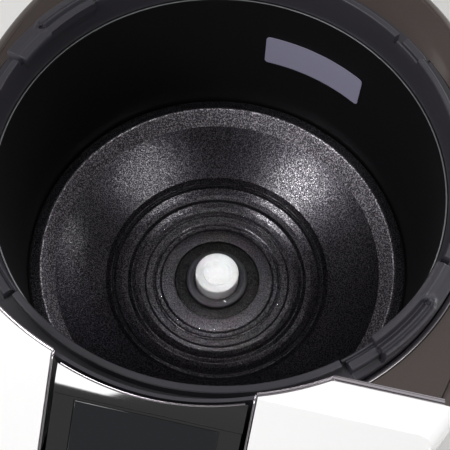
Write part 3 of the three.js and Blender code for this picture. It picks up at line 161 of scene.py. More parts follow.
def dress(started, group, values, bump, depth):
    """Places a pattern's group in a started material and feeds the shader from it."""
    material, tree, shader = started
    pattern = tree.nodes.new("ShaderNodeGroup")
    pattern.node_tree = group
    place = tree.nodes.new("ShaderNodeTexCoord").outputs["Object"]
    feed(tree, pattern, {"Place": place, **values})
    relief = wired(tree, "ShaderNodeBump", {"Strength": bump, "Distance": depth * MM,
                                            "Height": pattern.outputs["Height"]})
    feed(tree, shader, {"Base Color": pattern.outputs["Colour"], "Roughness": pattern.outputs["Roughness"],
                        "Normal": relief.outputs[0]})
    if "Coat" in pattern.outputs:
        feed(tree, shader, {"Coat Weight": pattern.outputs["Coat"]})
    return material


# %% Fine grain: colour and roughness that vary softly, with a slight bump
grain_group, grain_in, grain_out = start_group(
    "fine grain",
    [("Place", "NodeSocketVector", None), ("Scale", "NodeSocketFloat", 1500.0),
     ("Colour", "NodeSocketColor", (0.5, 0.5, 0.5, 1)), ("Variation", "NodeSocketFloat", 0.1),
     ("Roughness", "NodeSocketFloat", 0.4), ("Spread", "NodeSocketFloat", 0.06)],
    [("Colour", "NodeSocketColor"), ("Roughness", "NodeSocketFloat"), ("Height", "NodeSocketFloat")])


def fill_grain(tree, given, result):
    """Noise about its middle swings the colour's level and the roughness."""
    noise = wired(tree, "ShaderNodeTexNoise",
                  {"Detail": 3, "Vector": given["Place"], "Scale": given["Scale"]}).outputs["Fac"]
    centred = wired(tree, "ShaderNodeMath", {0: noise, 1: 0.5}, "SUBTRACT").outputs[0]
    swing = wired(tree, "ShaderNodeMath", {0: centred, 1: given["Variation"]}, "MULTIPLY").outputs[0]
    level = wired(tree, "ShaderNodeMath", {0: swing, 1: 1}, "ADD").outputs[0]
    tint = wired(tree, "ShaderNodeVectorMath", {0: given["Colour"], "Scale": level}, "SCALE").outputs[0]
    rough = wired(tree, "ShaderNodeMath", {0: centred, 1: given["Spread"], 2: given["Roughness"]},
                  "MULTIPLY_ADD").outputs[0]
    feed(tree, result, {"Colour": tint, "Roughness": rough, "Height": noise})


fill_grain(grain_group, grain_in.outputs, grain_out)


def grained(name, base, roughness, scale=1500, variation=0.15, spread=0.08, bump=0.05,
            depth=0.05, metallic=0.0, coat=0.0):
    """A finish whose colour, roughness and surface all carry the fine grain."""
    started = start_material(name, base, roughness, metallic, coat)
    return dress(started, grain_group, {"Scale": scale, "Colour": base, "Variation": variation,
                                        "Roughness": roughness, "Spread": spread}, bump, depth)


# %% [markdown]
# The bowl's coating is sprayed on thick and textured. Under a lamp its grains glint one by one,
# so the highlights look like static. Bump alone gets averaged away at this size, so the grains
# also differ in kind: most are dark and dull, and a few are pale flakes. The mix is nearly all
# metallic, so the flakes send back a lot of a lamp's light and stay dark everywhere else.

# %% Speckled coating of the bowl
METALLIC_SHARE = 0.94
FLAKE_LOW, FLAKE_HIGH = 0.48, 0.66
speckle_group, speckle_in, speckle_out = start_group(
    "speckle",
    [("Place", "NodeSocketVector", None), ("Scale", "NodeSocketFloat", 1500.0),
     ("Dark", "NodeSocketColor", (0.01, 0.01, 0.01, 1)), ("Pale", "NodeSocketColor", (0.1, 0.1, 0.1, 1)),
     ("Dull", "NodeSocketFloat", 0.6), ("Shiny", "NodeSocketFloat", 0.3), ("Glint", "NodeSocketFloat", 0.8)],
    [("Colour", "NodeSocketColor"), ("Roughness", "NodeSocketFloat"), ("Height", "NodeSocketFloat"),
     ("Coat", "NodeSocketFloat")])


def fill_speckle(tree, given, result):
    """Where noise runs high a flake begins, and each output goes from the ground to the flake."""
    noise = wired(tree, "ShaderNodeTexNoise", {"Detail": 2, "Roughness": 0.7, "Vector": given["Place"],
                                               "Scale": given["Scale"]}).outputs["Fac"]
    flake = wired(tree, "ShaderNodeMapRange",
                  {"Value": noise, "From Min": FLAKE_LOW, "From Max": FLAKE_HIGH}).outputs[0]
    mix = tree.nodes.new("ShaderNodeMix")
    mix.data_type = "RGBA"
    feed(tree, mix, {0: flake, 6: given["Dark"], 7: given["Pale"]})
    rough = wired(tree, "ShaderNodeMapRange",
                  {"Value": flake, "To Min": given["Dull"], "To Max": given["Shiny"]}).outputs[0]
    glint = wired(tree, "ShaderNodeMath", {0: flake, 1: given["Glint"]}, "MULTIPLY").outputs[0]
    feed(tree, result, {"Colour": mix.outputs[2], "Roughness": rough, "Height": flake, "Coat": glint})


fill_speckle(speckle_group, speckle_in.outputs, speckle_out)


def speckled(name, dark, pale, dull, shiny, glint, scale, bump, depth):
    """A metallic finish of dark, dull ground and pale, shinier flakes."""
    started = start_material(name, dark, dull, METALLIC_SHARE)
    _, tree, shader = started
    feed(tree, shader, {"Coat Roughness": 0.2, "Coat IOR": 2.0})
    return dress(started, speckle_group, {"Scale": scale, "Dark": dark, "Pale": pale, "Dull": dull,
                                          "Shiny": shiny, "Glint": glint}, bump, depth)


bowl_coating = speckled("bowl_coating", colour(38, 36, 40), colour(106, 101, 110),
                        0.34, 0.27, 0.9, 1350, 0.14, 0.12)
# The band's pale mix is a painted highlight for the light that falls on the steep band.
band_painted_highlight = speckled("band_painted_highlight", colour(82, 79, 84), colour(236, 229, 240),
                        0.55, 0.45, 1.0, 1100, 0.4, 0.2)
seat_rubber = speckled("seat_rubber", colour(10, 10, 11), colour(60, 58, 60),
                       0.75, 0.45, 0.4, 1500, 0.5, 0.15)

# %% [markdown]
# The other finishes are grained ones: satin and matte black mouldings, brown-grey metallic
# lacquer under a clear coat, white and black gloss, chrome, and satin aluminium and steel.

# %% Grained finishes, one for each of the record's slots
liner_black = grained("liner_black", colour(9, 8, 11), 0.5, 900, 0.3, 0.1, 0.08, 0.05)
satin_black = grained("satin_black", colour(54, 52, 58), 0.42, 2500, 0.1, 0.05, 0.06, 0.03)
brown_metal = grained("brown_metal", colour(84, 75, 72), 0.36, 3500, 0.5, 0.12, 0.04, 0.02, 0.55, 0.35)
chrome = grained("chrome", colour(196, 190, 196), 0.12, 600, 0.04, 0.03, 0.01, 0.01, 1.0)
white_gloss = grained("white_gloss", colour(250, 249, 249), 0.16, 500, 0.02, 0.02, 0.01, 0.01, 0.0, 0.5)
panel_gloss = grained("panel_gloss", colour(14, 13, 16), 0.06, 500, 0.1, 0.01, 0.01, 0.01, 0.0, 0.6)
panel_gloss.node_tree.nodes["Principled BSDF"].inputs["Coat IOR"].default_value = 2.3
display_glass = grained("display_glass", colour(24, 26, 30), 0.04, 500, 0.05, 0.01, 0.005, 0.01, 0.0, 0.8)
key_grey = grained("key_grey", colour(60, 59, 63), 0.34, 2500, 0.1, 0.05, 0.05, 0.02)
sensor_aluminium = grained("sensor_aluminium", colour(253, 253, 254), 0.5, 2600, 0.03, 0.1, 0.08, 0.03, 0.0)
rubber = grained("rubber", colour(22, 21, 22), 0.75, 1800, 0.25, 0.1, 0.15, 0.06)
steel = grained("steel", colour(190, 188, 188), 0.26, 900, 0.08, 0.1, 0.03, 0.02, 0.95)
copper = grained("copper", colour(176, 106, 62), 0.34, 1400, 0.25, 0.1, 0.3, 0.15, 0.85)
ferrite = grained("ferrite", colour(60, 59, 61), 0.7, 1600, 0.3, 0.1, 0.2, 0.08)
board = grained("board", colour(32, 92, 56), 0.45, 1200, 0.3, 0.1, 0.1, 0.05)
aluminium = grained("aluminium", colour(172, 174, 177), 0.38, 1100, 0.1, 0.1, 0.05, 0.03, 0.85)
silicone = grained("silicone", colour(216, 214, 208), 0.5, 1300, 0.05, 0.08, 0.08, 0.04)
bare_plate = grained("bare_plate", colour(152, 150, 172), 0.42, 1400, 0.06, 0.06, 0.04, 0.02)
finishes = dict(
    bowl_coating=bowl_coating, liner_black=liner_black, satin_black=satin_black, brown_metal=brown_metal,
    chrome=chrome, white_gloss=white_gloss, panel_gloss=panel_gloss, display_glass=display_glass,
    key_grey=key_grey, sensor_aluminium=sensor_aluminium, rubber=rubber, steel=steel, copper=copper,
    ferrite=ferrite, board=board, aluminium=aluminium, silicone=silicone, bare_plate=bare_plate)
print("finishes:", len(finishes))

# %% [markdown]
# ## Turned pieces
# Most of the cooker is round, so most pieces are a section spun about the well's axis. A real
# moulding has no sharp corners, so each corner of a section states its own rounding radius, and
# one helper swaps it for a short arc. An arc takes a little less than half of the shorter edge
# beside its corner, and a corner that is nearly straight stays as it is. The spin merges its
# first and last rings, points on the axis are merged, and the faces are turned outwards.

# %% Round a section's corners
ARC_STEPS = 4
OVER_HALF = 2.05
NEARLY_STRAIGHT = math.radians(88.5)


def rounded(corners):
    """Points of a closed section from (radius, height, rounding) corners, in millimetres."""
    points = []
    count = len(corners)
    for i, (r, z, rounding) in enumerate(corners):
        here = np.array((r, z), float)
        before = np.array(corners[i - 1][:2], float) - here
        after = np.array(corners[(i + 1) % count][:2], float) - here
        reach = min(np.linalg.norm(before), np.linalg.norm(after)) / OVER_HALF
        if rounding <= 0 or reach == 0:
            points.append(here)
            continue
        u, v = before / np.linalg.norm(before), after / np.linalg.norm(after)
        cosine = float(np.clip(u @ v, -1, 1))
        half = math.acos(cosine) / 2
        if half > NEARLY_STRAIGHT:
            points.append(here)
            continue
        cut = min(rounding / math.tan(half), reach)
        start, end = here + u * cut, here + v * cut
        for k in range(ARC_STEPS + 1):
            t = k / ARC_STEPS
            points.append((1 - t) ** 2 * start + 2 * t * (1 - t) * here + t ** 2 * end)
    return points


# %% Spin a section, and make an object of a bmesh
def finish_piece(name, bm, material, body, slot, *nodes, sharp=40):
    """Makes the object, marks its sharp edges, and puts it in its place in the frame."""
    for face in bm.faces:
        face.smooth = True
    for edge in bm.edges:
        if len(edge.link_faces) == 2 and edge.calc_face_angle(0) > math.radians(sharp):
            edge.smooth = False
    mesh = bpy.data.meshes.new(name)
    bm.to_mesh(mesh)
    bm.free()
    mesh.materials.append(material)
    piece = bpy.data.objects.new(name, mesh)
    bpy.context.scene.collection.objects.link(piece)
    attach(piece, body)
    if nodes:
        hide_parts(*nodes)
    print(f"{name}: {len(mesh.polygons)} faces")
    return piece


def spun(points, steps=192, closed_section=True):
    """A bmesh of a section of (radius, height) points spun once about the well's axis."""
    bm = bmesh.new()
    ring = [bm.verts.new((0, -r * MM, z * MM)) for r, z in points]
    pairs = list(zip(ring, ring[1:]))
    if closed_section:
        pairs.append((ring[-1], ring[0]))
    edges = [bm.edges.new(pair) for pair in pairs]
    bmesh.ops.spin(bm, geom=ring + edges, cent=(0, 0, 0), axis=(0, 0, 1), angle=math.tau,
                   steps=steps, use_merge=True, use_duplicate=False, dvec=(0, 0, 0))
    bmesh.ops.remove_doubles(bm, verts=bm.verts, dist=0.002 * MM)
    bmesh.ops.recalc_face_normals(bm, faces=bm.faces)
    return bm


def above_ring(corners):
    return [(r, z + ring_z, rounding) for r, z, rounding in corners]


# %% [markdown]
# ## The bowl
# The bowl is pressed aluminium over the induction coil. From the middle outwards it has a flat
# step round the sensor, a run of low ridges that centre the pot, a smooth spherical dish, a
# steep bright band and a flat rim that sits in the wall. The ridges are only a millimetre high,
# but they catch the light, so their section is written corner by corner.

# %% Heating bowl
DISH_RADIUS = 175
DISH_DROP = 41.9
DISH_START = 73.3
DISH_END = 104.2
DISH_STEPS = 12


def dish(radius):
    return DISH_RADIUS - DISH_DROP - math.sqrt(DISH_RADIUS ** 2 - radius ** 2)


BOWL_RIDGES = [
    (28.4, -34.8, 0.25), (36.9, -35.1, 0.5), (38.1, -36.1, 0.5), (40.6, -36.1, 0.5), (41.6, -35.2, 0.35),
    (42.3, -35.5, 0.25), (43.0, -35.1, 0.35), (47.2, -35.1, 0.6), (48.4, -34.0, 0.5), (51.0, -34.2, 0.8),
    (54.0, -33.2, 1.5), (56.8, -31.6, 0.9), (59.6, -32.9, 1.0), (63.0, -31.8, 1.5), (67.0, -29.9, 0.6),
    (68.5, -28.2, 0.35), (70.2, -28.9, 0.6), (DISH_START, dish(DISH_START), 1.5),
]
dish_corners = [(r, dish(r), 0) for r in np.linspace(DISH_START, DISH_END, DISH_STEPS)[1:-1]]
BOWL_BAND = [(DISH_END, dish(DISH_END), 1.2), (111.2, 1.7, 0.5), (112.1, 2.2, 0.35), (113.2, 1.5, 0.4),
             (118.8, 1.5, 0.5), (118.8, -0.8, 0.3)]
BOWL_UNDER = [(112.6, -0.8, 0.5), (104.8, -9.4, 0.5), (90, dish(90) - 2.6, 0), (DISH_START, -28.4, 1),
              (62.3, -37.6, 1), (28.4, -37.6, 0.3)]
bowl_section = rounded(above_ring(BOWL_RIDGES + dish_corners + BOWL_BAND + BOWL_UNDER))
bowl = finish_piece("bowl", spun(bowl_section, 224), bowl_coating, "base", "bowl_coating",
                    "heating_bowl", sharp=60)

# %% [markdown]
# The steep band at the edge gets a coarser and much paler mix of the same coating. Its paleness is a painted
# highlight: it stands in for the light that the band catches from more directions than the dish does.

# %% Coarser, paler coating on the steep band: a painted highlight
BAND_START, BAND_END = DISH_END - 0.5, 113.2
bowl.data.materials.append(band_painted_highlight)
# The steep band's faces get the paler mix, a painted highlight.
for face in bowl.data.polygons:
    if BAND_START < math.hypot(face.center.x, face.center.y) / MM < BAND_END:
        face.material_index = 1
print("faces on the band:", sum(face.material_index for face in bowl.data.polygons))

# %% [markdown]
# ## The sensor
# A sprung aluminium cap touches the pot's bottom. It stands in a black cup with a thin rim, and
# a soft dark ring seals the cup to the bowl. The cap's top has a shallow circle turned into it.

# %% Sensor cap, its cup and the ring round it
CAP_TOP = -23.7
cap_section = rounded(above_ring([
    (0, CAP_TOP - 0.25, 0), (8.9, CAP_TOP - 0.25, 0.15), (9.3, CAP_TOP, 0.15), (14.2, CAP_TOP, 0.9),
    (14.2, CAP_TOP - 14.3, 0.2), (13.0, CAP_TOP - 14.3, 0.2), (13.0, CAP_TOP - 1.4, 0.4),
    (0, CAP_TOP - 1.4, 0)]))
finish_piece("sensor_cap_turned", spun(cap_section, 128, False), sensor_aluminium,
             "sensor", "sensor_aluminium", "sensor_cap")
cup_section = rounded(above_ring([
    (15.2, -32.6, 0.3), (16.4, -32.3, 0.3), (17.4, -32.9, 0.3), (19.0, -33.1, 0.4), (20.4, -33.8, 0.4),
    (20.4, -44.7, 0.2), (26.5, -44.7, 0.3), (26.5, -47.2, 0.3), (20.4, -47.2, 0.3), (20.4, -52.3, 0.4),
    (4.0, -52.3, 0.2), (4.0, -50.3, 0.2), (15.2, -50.3, 0.3)]))
finish_piece("sensor_cup_turned", spun(cup_section, 128), satin_black, "base", "liner_black", "sensor_cup")
seat_section = rounded(above_ring([
    (20.7, -36.2, 0.3), (22.0, -36.2, 0.4), (28.1, -36.2, 0.3), (28.1, -38.5, 0.3), (20.7, -38.5, 0.3)]))
finish_piece("seat_ring_turned", spun(seat_section, 128), seat_rubber, "base", "rubber", "seat_ring")

# %% [markdown]
# ## The well's wall
# The wall is a deep black can. Its upper edge was trimmed after painting, so a hair of bare
# metal shows there as a thin silver line. That line is a ring of its own.

# %% Well liner and its bare edge
WALL_FOOT = 120.0
WALL_TOP = 121.7
wall_z = ring_z + 103.8
EDGE = 0.35
liner_section = rounded([
    (114, ring_z - 2.6, 0.3), (120.8, ring_z - 2.6, 0.8), (WALL_TOP + 0.8, wall_z - EDGE, 0),
    (WALL_TOP, wall_z - EDGE, 0), (WALL_FOOT, ring_z - 1.1, 0.6), (114, ring_z - 1.1, 0.3)])
finish_piece("liner_wall", spun(liner_section, 192), liner_black, "base", "liner_black", "well_liner")
edge_section = rounded([
    (WALL_TOP, wall_z - EDGE, 0), (WALL_TOP + 0.8, wall_z - EDGE, 0), (WALL_TOP + 0.8, wall_z, 0.1),
    (WALL_TOP, wall_z, 0.1)])
finish_piece("liner_bare_edge", spun(edge_section, 192), aluminium, "base", "aluminium")

# %% [markdown]
# ## The collar
# The collar is the black moulding that the lid locks into. Most of it is a plain rounded lip
# above a channel. On two opposite sides it carries a low pad, then a block with three ridges, a
# round hole that ends its valley and a plain stretch, and narrow slots cut the lip beside them.
# A ring is spun first, with many points across its top. Then each of those points is lifted or
# lowered by a relief worked out from its radius and angle, as a sculptor would press a profile
# into clay. The spun rings are crowded towards the features first, so that edges stay crisp.

# %% Relief of the collar's top, in millimetres below the lip
LIP_INNER, COLLAR_OUTER = 124.0, 134.6
CHANNEL = 7.6
GAP_ANGLE, GAP_HALF = 39.25, 0.65
PAD_START, PAD_END = 40.5, 47.6
BLOCK_START, GROOVE_END, BLOCK_END, NOTCH_END = 48.0, 63.2, 73.6, 75.0
BLOCK_INWARD, BLOCK_REACH_DOWN, BLOCK_FADE_DOWN = 1.7, 9, 2
BLOCK_SIDE_IN, BLOCK_SIDE_EASE = 0.15, 0.3
LIP_SECTION = [(124.0, 1.3), (124.3, 0.3), (124.7, 0.0), (127.2, 0.2), (127.8, 0.5), (128.0, CHANNEL)]
LEDGE_SECTION = [(124.0, 3.9), (124.3, 2.9), (124.8, 2.6), (125.3, 2.7), (125.5, 4.2), (126.4, 4.2),
                 (126.7, 3.0), (127.3, 2.6), (130.4, 2.6), (131.1, 3.3), (131.4, CHANNEL)]
RIDGED_SECTION = [(124.0, 1.1), (125.4, 0.0), (127.5, 2.9), (129.8, 0.4), (131.4, 1.6), (133.3, 0.2),
                  (134.2, 0.5), (134.6, 1.6)]
PLAIN_SECTION = [(124.0, 1.3), (124.9, 0.5), (126.0, 0.2), (126.9, 0.6), (130.0, 0.9), (133.8, 1.1),
                 (134.6, 2.2)]
HOLE_RADIUS, HOLE_ROUND, HOLE_DEPTH = 129.2, 1.5, 3.4
HOLE_RIM_OUT, HOLE_RIM_HEIGHT, HOLE_RIM_WIDTH = 1.6, 0.9, 0.7
PAD_ROUND_R, TRENCH_R = 126.5, 125.4
END_ROUND, BLOCK_END_DROP = 0.8, 0.5
GROOVE_FADE = 2.0
STEP, SLOT_STEP, BLOCK_STEP = 0.3, 0.25, 0.4


def ramp(value, edge, width):
    """0 below an edge and 1 above it, eased over a width."""
    t = np.clip((value - edge) / width + 0.5, 0, 1)
    return t * t * (3 - 2 * t)


def band(value, low, high, width):
    """1 between two edges and 0 outside them."""
    return ramp(value, low, width) * (1 - ramp(value, high, width))


def end_drop(along, start, end, arc):
    """From 0 to 1 over the last stretch before either end of a pad or block."""
    ends = np.minimum((along - start) * arc, (end - along) * arc)
    return np.clip(1 - ends / END_ROUND, 0, 1) ** 2


def eased(radius, section):
    """Depth along a section whose points are joined by eased steps, so that ridges are round."""
    depth = np.full_like(radius, section[0][1])
    for (r0, d0), (r1, d1) in zip(section, section[1:]):
        t = np.clip((radius - r0) / (r1 - r0), 0, 1)
        depth += (d1 - d0) * t * t * (3 - 2 * t)
    return depth


def pads_and_slots(depth, ledge, radius, local, arc):
    """Presses the low pad, and the slots beside it, into the lip on both sides of a middle line."""
    for side in (1, -1):
        along = local * side
        pad = ledge + end_drop(along, PAD_START, PAD_END, arc) * END_ROUND * (radius > PAD_ROUND_R)
        depth = depth + (pad - depth) * band(along * arc, GAP_ANGLE * arc, BLOCK_START * arc, STEP)
        trench = band((along - GAP_ANGLE) * arc, 0, (PAD_START - GAP_ANGLE) * arc, STEP)
        depth = depth + (CHANNEL - depth) * trench * ramp(radius, TRENCH_R, STEP)
        slot = band((along - GAP_ANGLE) * arc, -GAP_HALF, GAP_HALF, SLOT_STEP)
        depth = depth + (CHANNEL - depth) * slot
    return depth


def collar_relief(radius, angle):
    """Depth below the lip's top at a radius and an angle from the front, in degrees."""
    arc = math.radians(1) * radius
    depth = eased(radius, LIP_SECTION)
    ledge = eased(radius, LEDGE_SECTION)
    ridged = eased(radius, RIDGED_SECTION)
    plain = eased(radius, PLAIN_SECTION)
    for base in (0, 180):
        local = (angle - base + 180) % 360 - 180
        depth = pads_and_slots(depth, ledge, radius, local, arc)
        past = (local - GROOVE_END) * arc
        block = ridged + (plain - ridged) * ramp(past, 0, GROOVE_FADE)
        loop = np.hypot(radius - HOLE_RADIUS, np.maximum(0, past)) - HOLE_ROUND
        rim = np.exp(-((loop - HOLE_RIM_OUT) / HOLE_RIM_WIDTH) ** 2) * band(past, -1, 6, 1.5)
        block = np.maximum(block - HOLE_RIM_HEIGHT * rim, 0)
        block = block + BLOCK_END_DROP * end_drop(local, BLOCK_START, BLOCK_END, arc)
        depth = depth + (block - depth) * band(local * arc, BLOCK_START * arc, BLOCK_END * arc, BLOCK_STEP)
        notch = band(local * arc, BLOCK_END * arc, NOTCH_END * arc, STEP)
        depth = depth + (CHANNEL - depth) * notch
        hole = 1 - ramp(np.hypot(radius - HOLE_RADIUS, past), HOLE_ROUND, BLOCK_STEP)
        depth = depth + (HOLE_DEPTH - depth) * hole * (depth < HOLE_DEPTH)
    return depth


def inward_press(angle, height):
    """How far the ridged blocks stand into the well, at an angle and a height below the lip."""
    total = 0
    for base in (0, 180):
        local = (angle - base + 180) % 360 - 180
        across = band(local, BLOCK_START + BLOCK_SIDE_IN, BLOCK_END - BLOCK_SIDE_IN, BLOCK_SIDE_EASE)
        total += across * (1 - ramp(height, BLOCK_REACH_DOWN, BLOCK_FADE_DOWN))
    return BLOCK_INWARD * total


# %% Spin the collar
COLLAR_STEPS = 720
across_top = np.concatenate((
    np.linspace(LIP_INNER, 125.2, 8), np.linspace(125.4, 126.7, 7), np.linspace(127.0, 127.7, 4),
    np.linspace(127.8, 128.1, 4), np.linspace(128.5, 130.9, 10), np.linspace(131.0, 131.5, 5),
    np.linspace(131.9, 134.2, 9), np.linspace(134.3, COLLAR_OUTER, 4)))
collar_low = deck_z - 4.5
collar_inside = [(122.9, ring_z + 104.3), (123.1, lip_z - 14), (123.3, lip_z - 9.5), (123.5, lip_z - 6.5),
                 (123.75, lip_z - 4.6)]
collar_outside = [(COLLAR_OUTER, lip_z - CHANNEL - 0.1), (COLLAR_OUTER, collar_low), (133.4, collar_low),
                  (133.4, lip_z - 13.4), (127, lip_z - 13.4), (126.4, ring_z + 104.3)]
collar_bm = spun(collar_inside + [(r, lip_z) for r in across_top] + collar_outside, COLLAR_STEPS)
print("collar points:", len(collar_bm.verts))

# %% Crowd the rings towards the features and press the relief in
CROWDING, CROWD_REACH = 7, 0.7
PRESSED_R, PRESS_FADE_R, PRESS_FADE = 125.3, 124.6, 1.2
ON_LEVEL = 0.001
feature_angles = [base + side * a for base in (0, 180) for side in (1, -1)
                  for a in (GAP_ANGLE, PAD_START, PAD_END)]
feature_angles += [base + a for base in (0, 180) for a in (BLOCK_START, GROOVE_END, BLOCK_END, NOTCH_END)]
fine_angles = np.linspace(0, 360, 14401)
weight = np.ones_like(fine_angles)
for feature in feature_angles:
    off = np.abs((fine_angles - feature + 180) % 360 - 180)
    weight += CROWDING * np.exp(-(off / CROWD_REACH) ** 2)
even_angles = np.cumsum(weight) - weight[0]
even_angles = even_angles / even_angles[-1] * 360
top_verts = []
for vert in collar_bm.verts:
    x, y, z = vert.co / MM
    radius = math.hypot(x, y)
    angle = math.degrees(math.atan2(x, -y)) % 360
    crowded = float(np.interp(angle, even_angles, fine_angles))
    if abs(z - lip_z) < ON_LEVEL:
        top_verts.append((vert, radius, crowded))
    if radius < PRESSED_R:
        inward = 1 - float(ramp(radius, PRESS_FADE_R, PRESS_FADE))
        radius -= float(inward_press(crowded, lip_z - z)) * inward
    turn_to = math.radians(crowded)
    vert.co.x, vert.co.y = radius * math.sin(turn_to) * MM, -radius * math.cos(turn_to) * MM
depths = collar_relief(np.array([v[1] for v in top_verts]), np.array([v[2] for v in top_verts]))
for (vert, _, _), depth in zip(top_verts, depths):
    vert.co.z -= float(depth) * MM
print("relief runs from", round(float(depths.min()), 2), "to", round(float(depths.max()), 2), "mm")
bmesh.ops.recalc_face_normals(collar_bm, faces=collar_bm.faces)
finish_piece("collar_moulding", collar_bm, satin_black, "base", "satin_black", "collar", sharp=75)

# %% [markdown]
# ## The bare plate
# A thin plate is stuck to the wall of the well, on its rear right side. It is left blank. It is
# one grid bent onto the wall, with its corners cut round and a little thickness.

# %% Plate on the wall of the well
PLATE_START, PLATE_END, PLATE_BENDS = 146.5, 178.5, 40
PLATE_LOW, PLATE_HIGH = ring_z + 50, ring_z + 75
PLATE_RADIUS, PLATE_CORNER, PLATE_THICK = 120.3, 2.6, 0.35
plate_width = math.radians(PLATE_END - PLATE_START) * PLATE_RADIUS
plate_height = PLATE_HIGH - PLATE_LOW


def whole(bm):
    """All of a mesh, as the slicing operators take it."""
    return bm.verts[:] + bm.edges[:] + bm.faces[:]


bm = bmesh.new()
bmesh.ops.create_grid(bm, x_segments=1, y_segments=1, size=0.5)
bmesh.ops.scale(bm, vec=(plate_width, plate_height, 1), verts=bm.verts)
bmesh.ops.bevel(bm, geom=bm.verts[:], affect="VERTICES", offset=PLATE_CORNER, segments=6, profile=0.5,
                material=-1)
for x in np.linspace(-plate_width / 2, plate_width / 2, PLATE_BENDS + 1)[1:-1]:
    bmesh.ops.bisect_plane(bm, geom=whole(bm), plane_co=(x, 0, 0), plane_no=(1, 0, 0))
for vert in bm.verts:
    angle = math.radians((PLATE_START + PLATE_END) / 2) - vert.co.x / PLATE_RADIUS
    height = (PLATE_LOW + PLATE_HIGH) / 2 + vert.co.y
    vert.co = (PLATE_RADIUS * math.sin(angle) * MM, -PLATE_RADIUS * math.cos(angle) * MM, height * MM)
bm.normal_update()
bmesh.ops.solidify(bm, geom=bm.faces[:], thickness=PLATE_THICK * MM)
bmesh.ops.recalc_face_normals(bm, faces=bm.faces)
finish_piece("bare_wall_plate", bm, bare_plate, "base", "bare_plate", "label_plate")

# %% [markdown]
# ## The body's outline
# Seen from above the body is a superellipse, squarer than an ellipse. Its wall leans in a little
# towards the foot and rolls over at the shoulder, so a level's outline is the same curve moved
# inwards by an amount that depends on the height.

# %% Outline of the body at a height
BODY_POWER = 2.4
HALF_WIDTH = high_of("body_shell", 0)
FRONT_Y, REAR_Y = low_of("front_fascia", 1), high_of("top_deck", 1) + 10.3
CENTRE_Y, HALF_DEPTH = (FRONT_Y + REAR_Y) / 2, (REAR_Y - FRONT_Y) / 2
SHELL_LOW = low_of("body_shell")
BELLY_Z, FOOT_IN = 120.0, 3.0
FOOT_SHARES = (0, 0.015, 0.03, 1 / 3, 2 / 3, 1)
SHOULDER_IN, SHOULDER = 2.0, 8.0
SPLIT_Y = -118.3
FIT = 0.3


def outline_point(turn, inset):
    """Point of the outline at a turn in radians, moved inwards by an inset."""
    c, s = math.cos(turn), math.sin(turn)
    power = 2 / BODY_POWER
    return ((HALF_WIDTH - inset) * math.copysign(abs(c) ** power, c),
            CENTRE_Y + (HALF_DEPTH - inset) * math.copysign(abs(s) ** power, s))


def outline_x(y, inset):
    """Half the body's width at a place from front to rear."""
    share = abs(y - CENTRE_Y) / (HALF_DEPTH - inset)
    return (HALF_WIDTH - inset) * (1 - share ** BODY_POWER) ** (1 / BODY_POWER)


def turn_at(y, inset):
    """The turn, on the right side, at which the outline passes a place from front to rear."""
    share = (y - CENTRE_Y) / (HALF_DEPTH - inset)
    return math.asin(math.copysign(abs(share) ** (BODY_POWER / 2), share))


def wall_levels(top):
    """(inset, z) pairs from the foot over the shoulder to a flat top."""
    levels = [(FOOT_IN * (1 - t), SHELL_LOW + (BELLY_Z - SHELL_LOW) * t) for t in FOOT_SHARES]
    levels += [(SHOULDER_IN * t, BELLY_Z + (top - SHOULDER - BELLY_Z) * t) for t in np.linspace(0.25, 1, 4)]
    for angle in np.linspace(0, math.pi / 2, 7)[1:]:
        inset = SHOULDER_IN + SHOULDER * (1 - math.cos(angle))
        levels.append((inset, top - SHOULDER + SHOULDER * math.sin(angle)))
    return levels


print("outline:", round(HALF_WIDTH, 1), round(FRONT_Y, 1), round(REAR_Y, 1))


# %% Climb a chain of edges from loop to loop
def chain_edges(verts):
    """The edges that join vertices of one chain."""
    members = set(verts)
    return list(dict.fromkeys(e for v in verts for e in v.link_edges if e.other_vert(v) in members))


def climbed(loops, closed):
    """Extrudes a chain of edges from loop to loop, all with the same number of points."""
    bm = bmesh.new()
    verts = [bm.verts.new(Vector(p) * MM) for p in loops[0]]
    edges = [bm.edges.new(pair) for pair in zip(verts, verts[1:])]
    if closed:
        edges.append(bm.edges.new((verts[-1], verts[0])))
    for loop in loops[1:]:
        known = set(bm.verts)
        bmesh.ops.extrude_edge_only(bm, edges=edges)
        verts = [next(e.other_vert(v) for e in v.link_edges if e.other_vert(v) not in known) for v in verts]
        for vert, place in zip(verts, loop):
            vert.co = Vector(place) * MM
        edges = chain_edges(verts)
    return bm, verts


# %% Finish a climbed wall: openings, outward faces, thickness and soft edges
def cut_away(bm, unwanted):
    """Deletes faces by a test that is told each face and its middle's place in millimetres."""
    gone = [face for face in bm.faces if unwanted(face, *(face.calc_center_median() / MM))]
    bmesh.ops.delete(bm, geom=gone, context="FACES")


def away_from_well(face):
    """Above 0 for a face that looks away from the well's axis, and below 0 for one that looks at it."""
    return face.normal.xy.dot(face.calc_center_median().xy)


def turn_outwards(bm, outward):
    """Makes a sheet's faces agree, and turns them all over if they add up to the wrong side."""
    bmesh.ops.recalc_face_normals(bm, faces=bm.faces)
    if sum(outward(face) for face in bm.faces) < 0:
        bmesh.ops.reverse_faces(bm, faces=bm.faces[:])


def soften(piece, width, segments, angle):
    """Rounds the edges that are sharper than an angle with a small bevel."""
    soft = piece.modifiers.new("soft edges", "BEVEL")
    soft.width = width * MM
    soft.segments = segments
    soft.limit_method = "ANGLE"
    soft.angle_limit = math.radians(angle)
    return soft


def thicken(piece, thickness, edge=0.0, even=True):
    """Gives a sheet its wall inwards, and soft edges where it is asked for."""
    wall = piece.modifiers.new("wall", "SOLIDIFY")
    wall.thickness = thickness * MM
    wall.offset = -1
    wall.use_even_offset = even
    if edge:
        soften(piece, edge, 3, 30).harden_normals = True


# %% [markdown]
# ## Body shell, deck and the bright ring
# The shell is one wall climbed level by level round the back, then given its thickness. The
# slots that let the fan's air out and the hole for the mains inlet are cut out of its rear by
# slicing the wall along their edges and taking the faces between them away. The deck and the
# ring leave the same small fit all round, as fitted parts do.

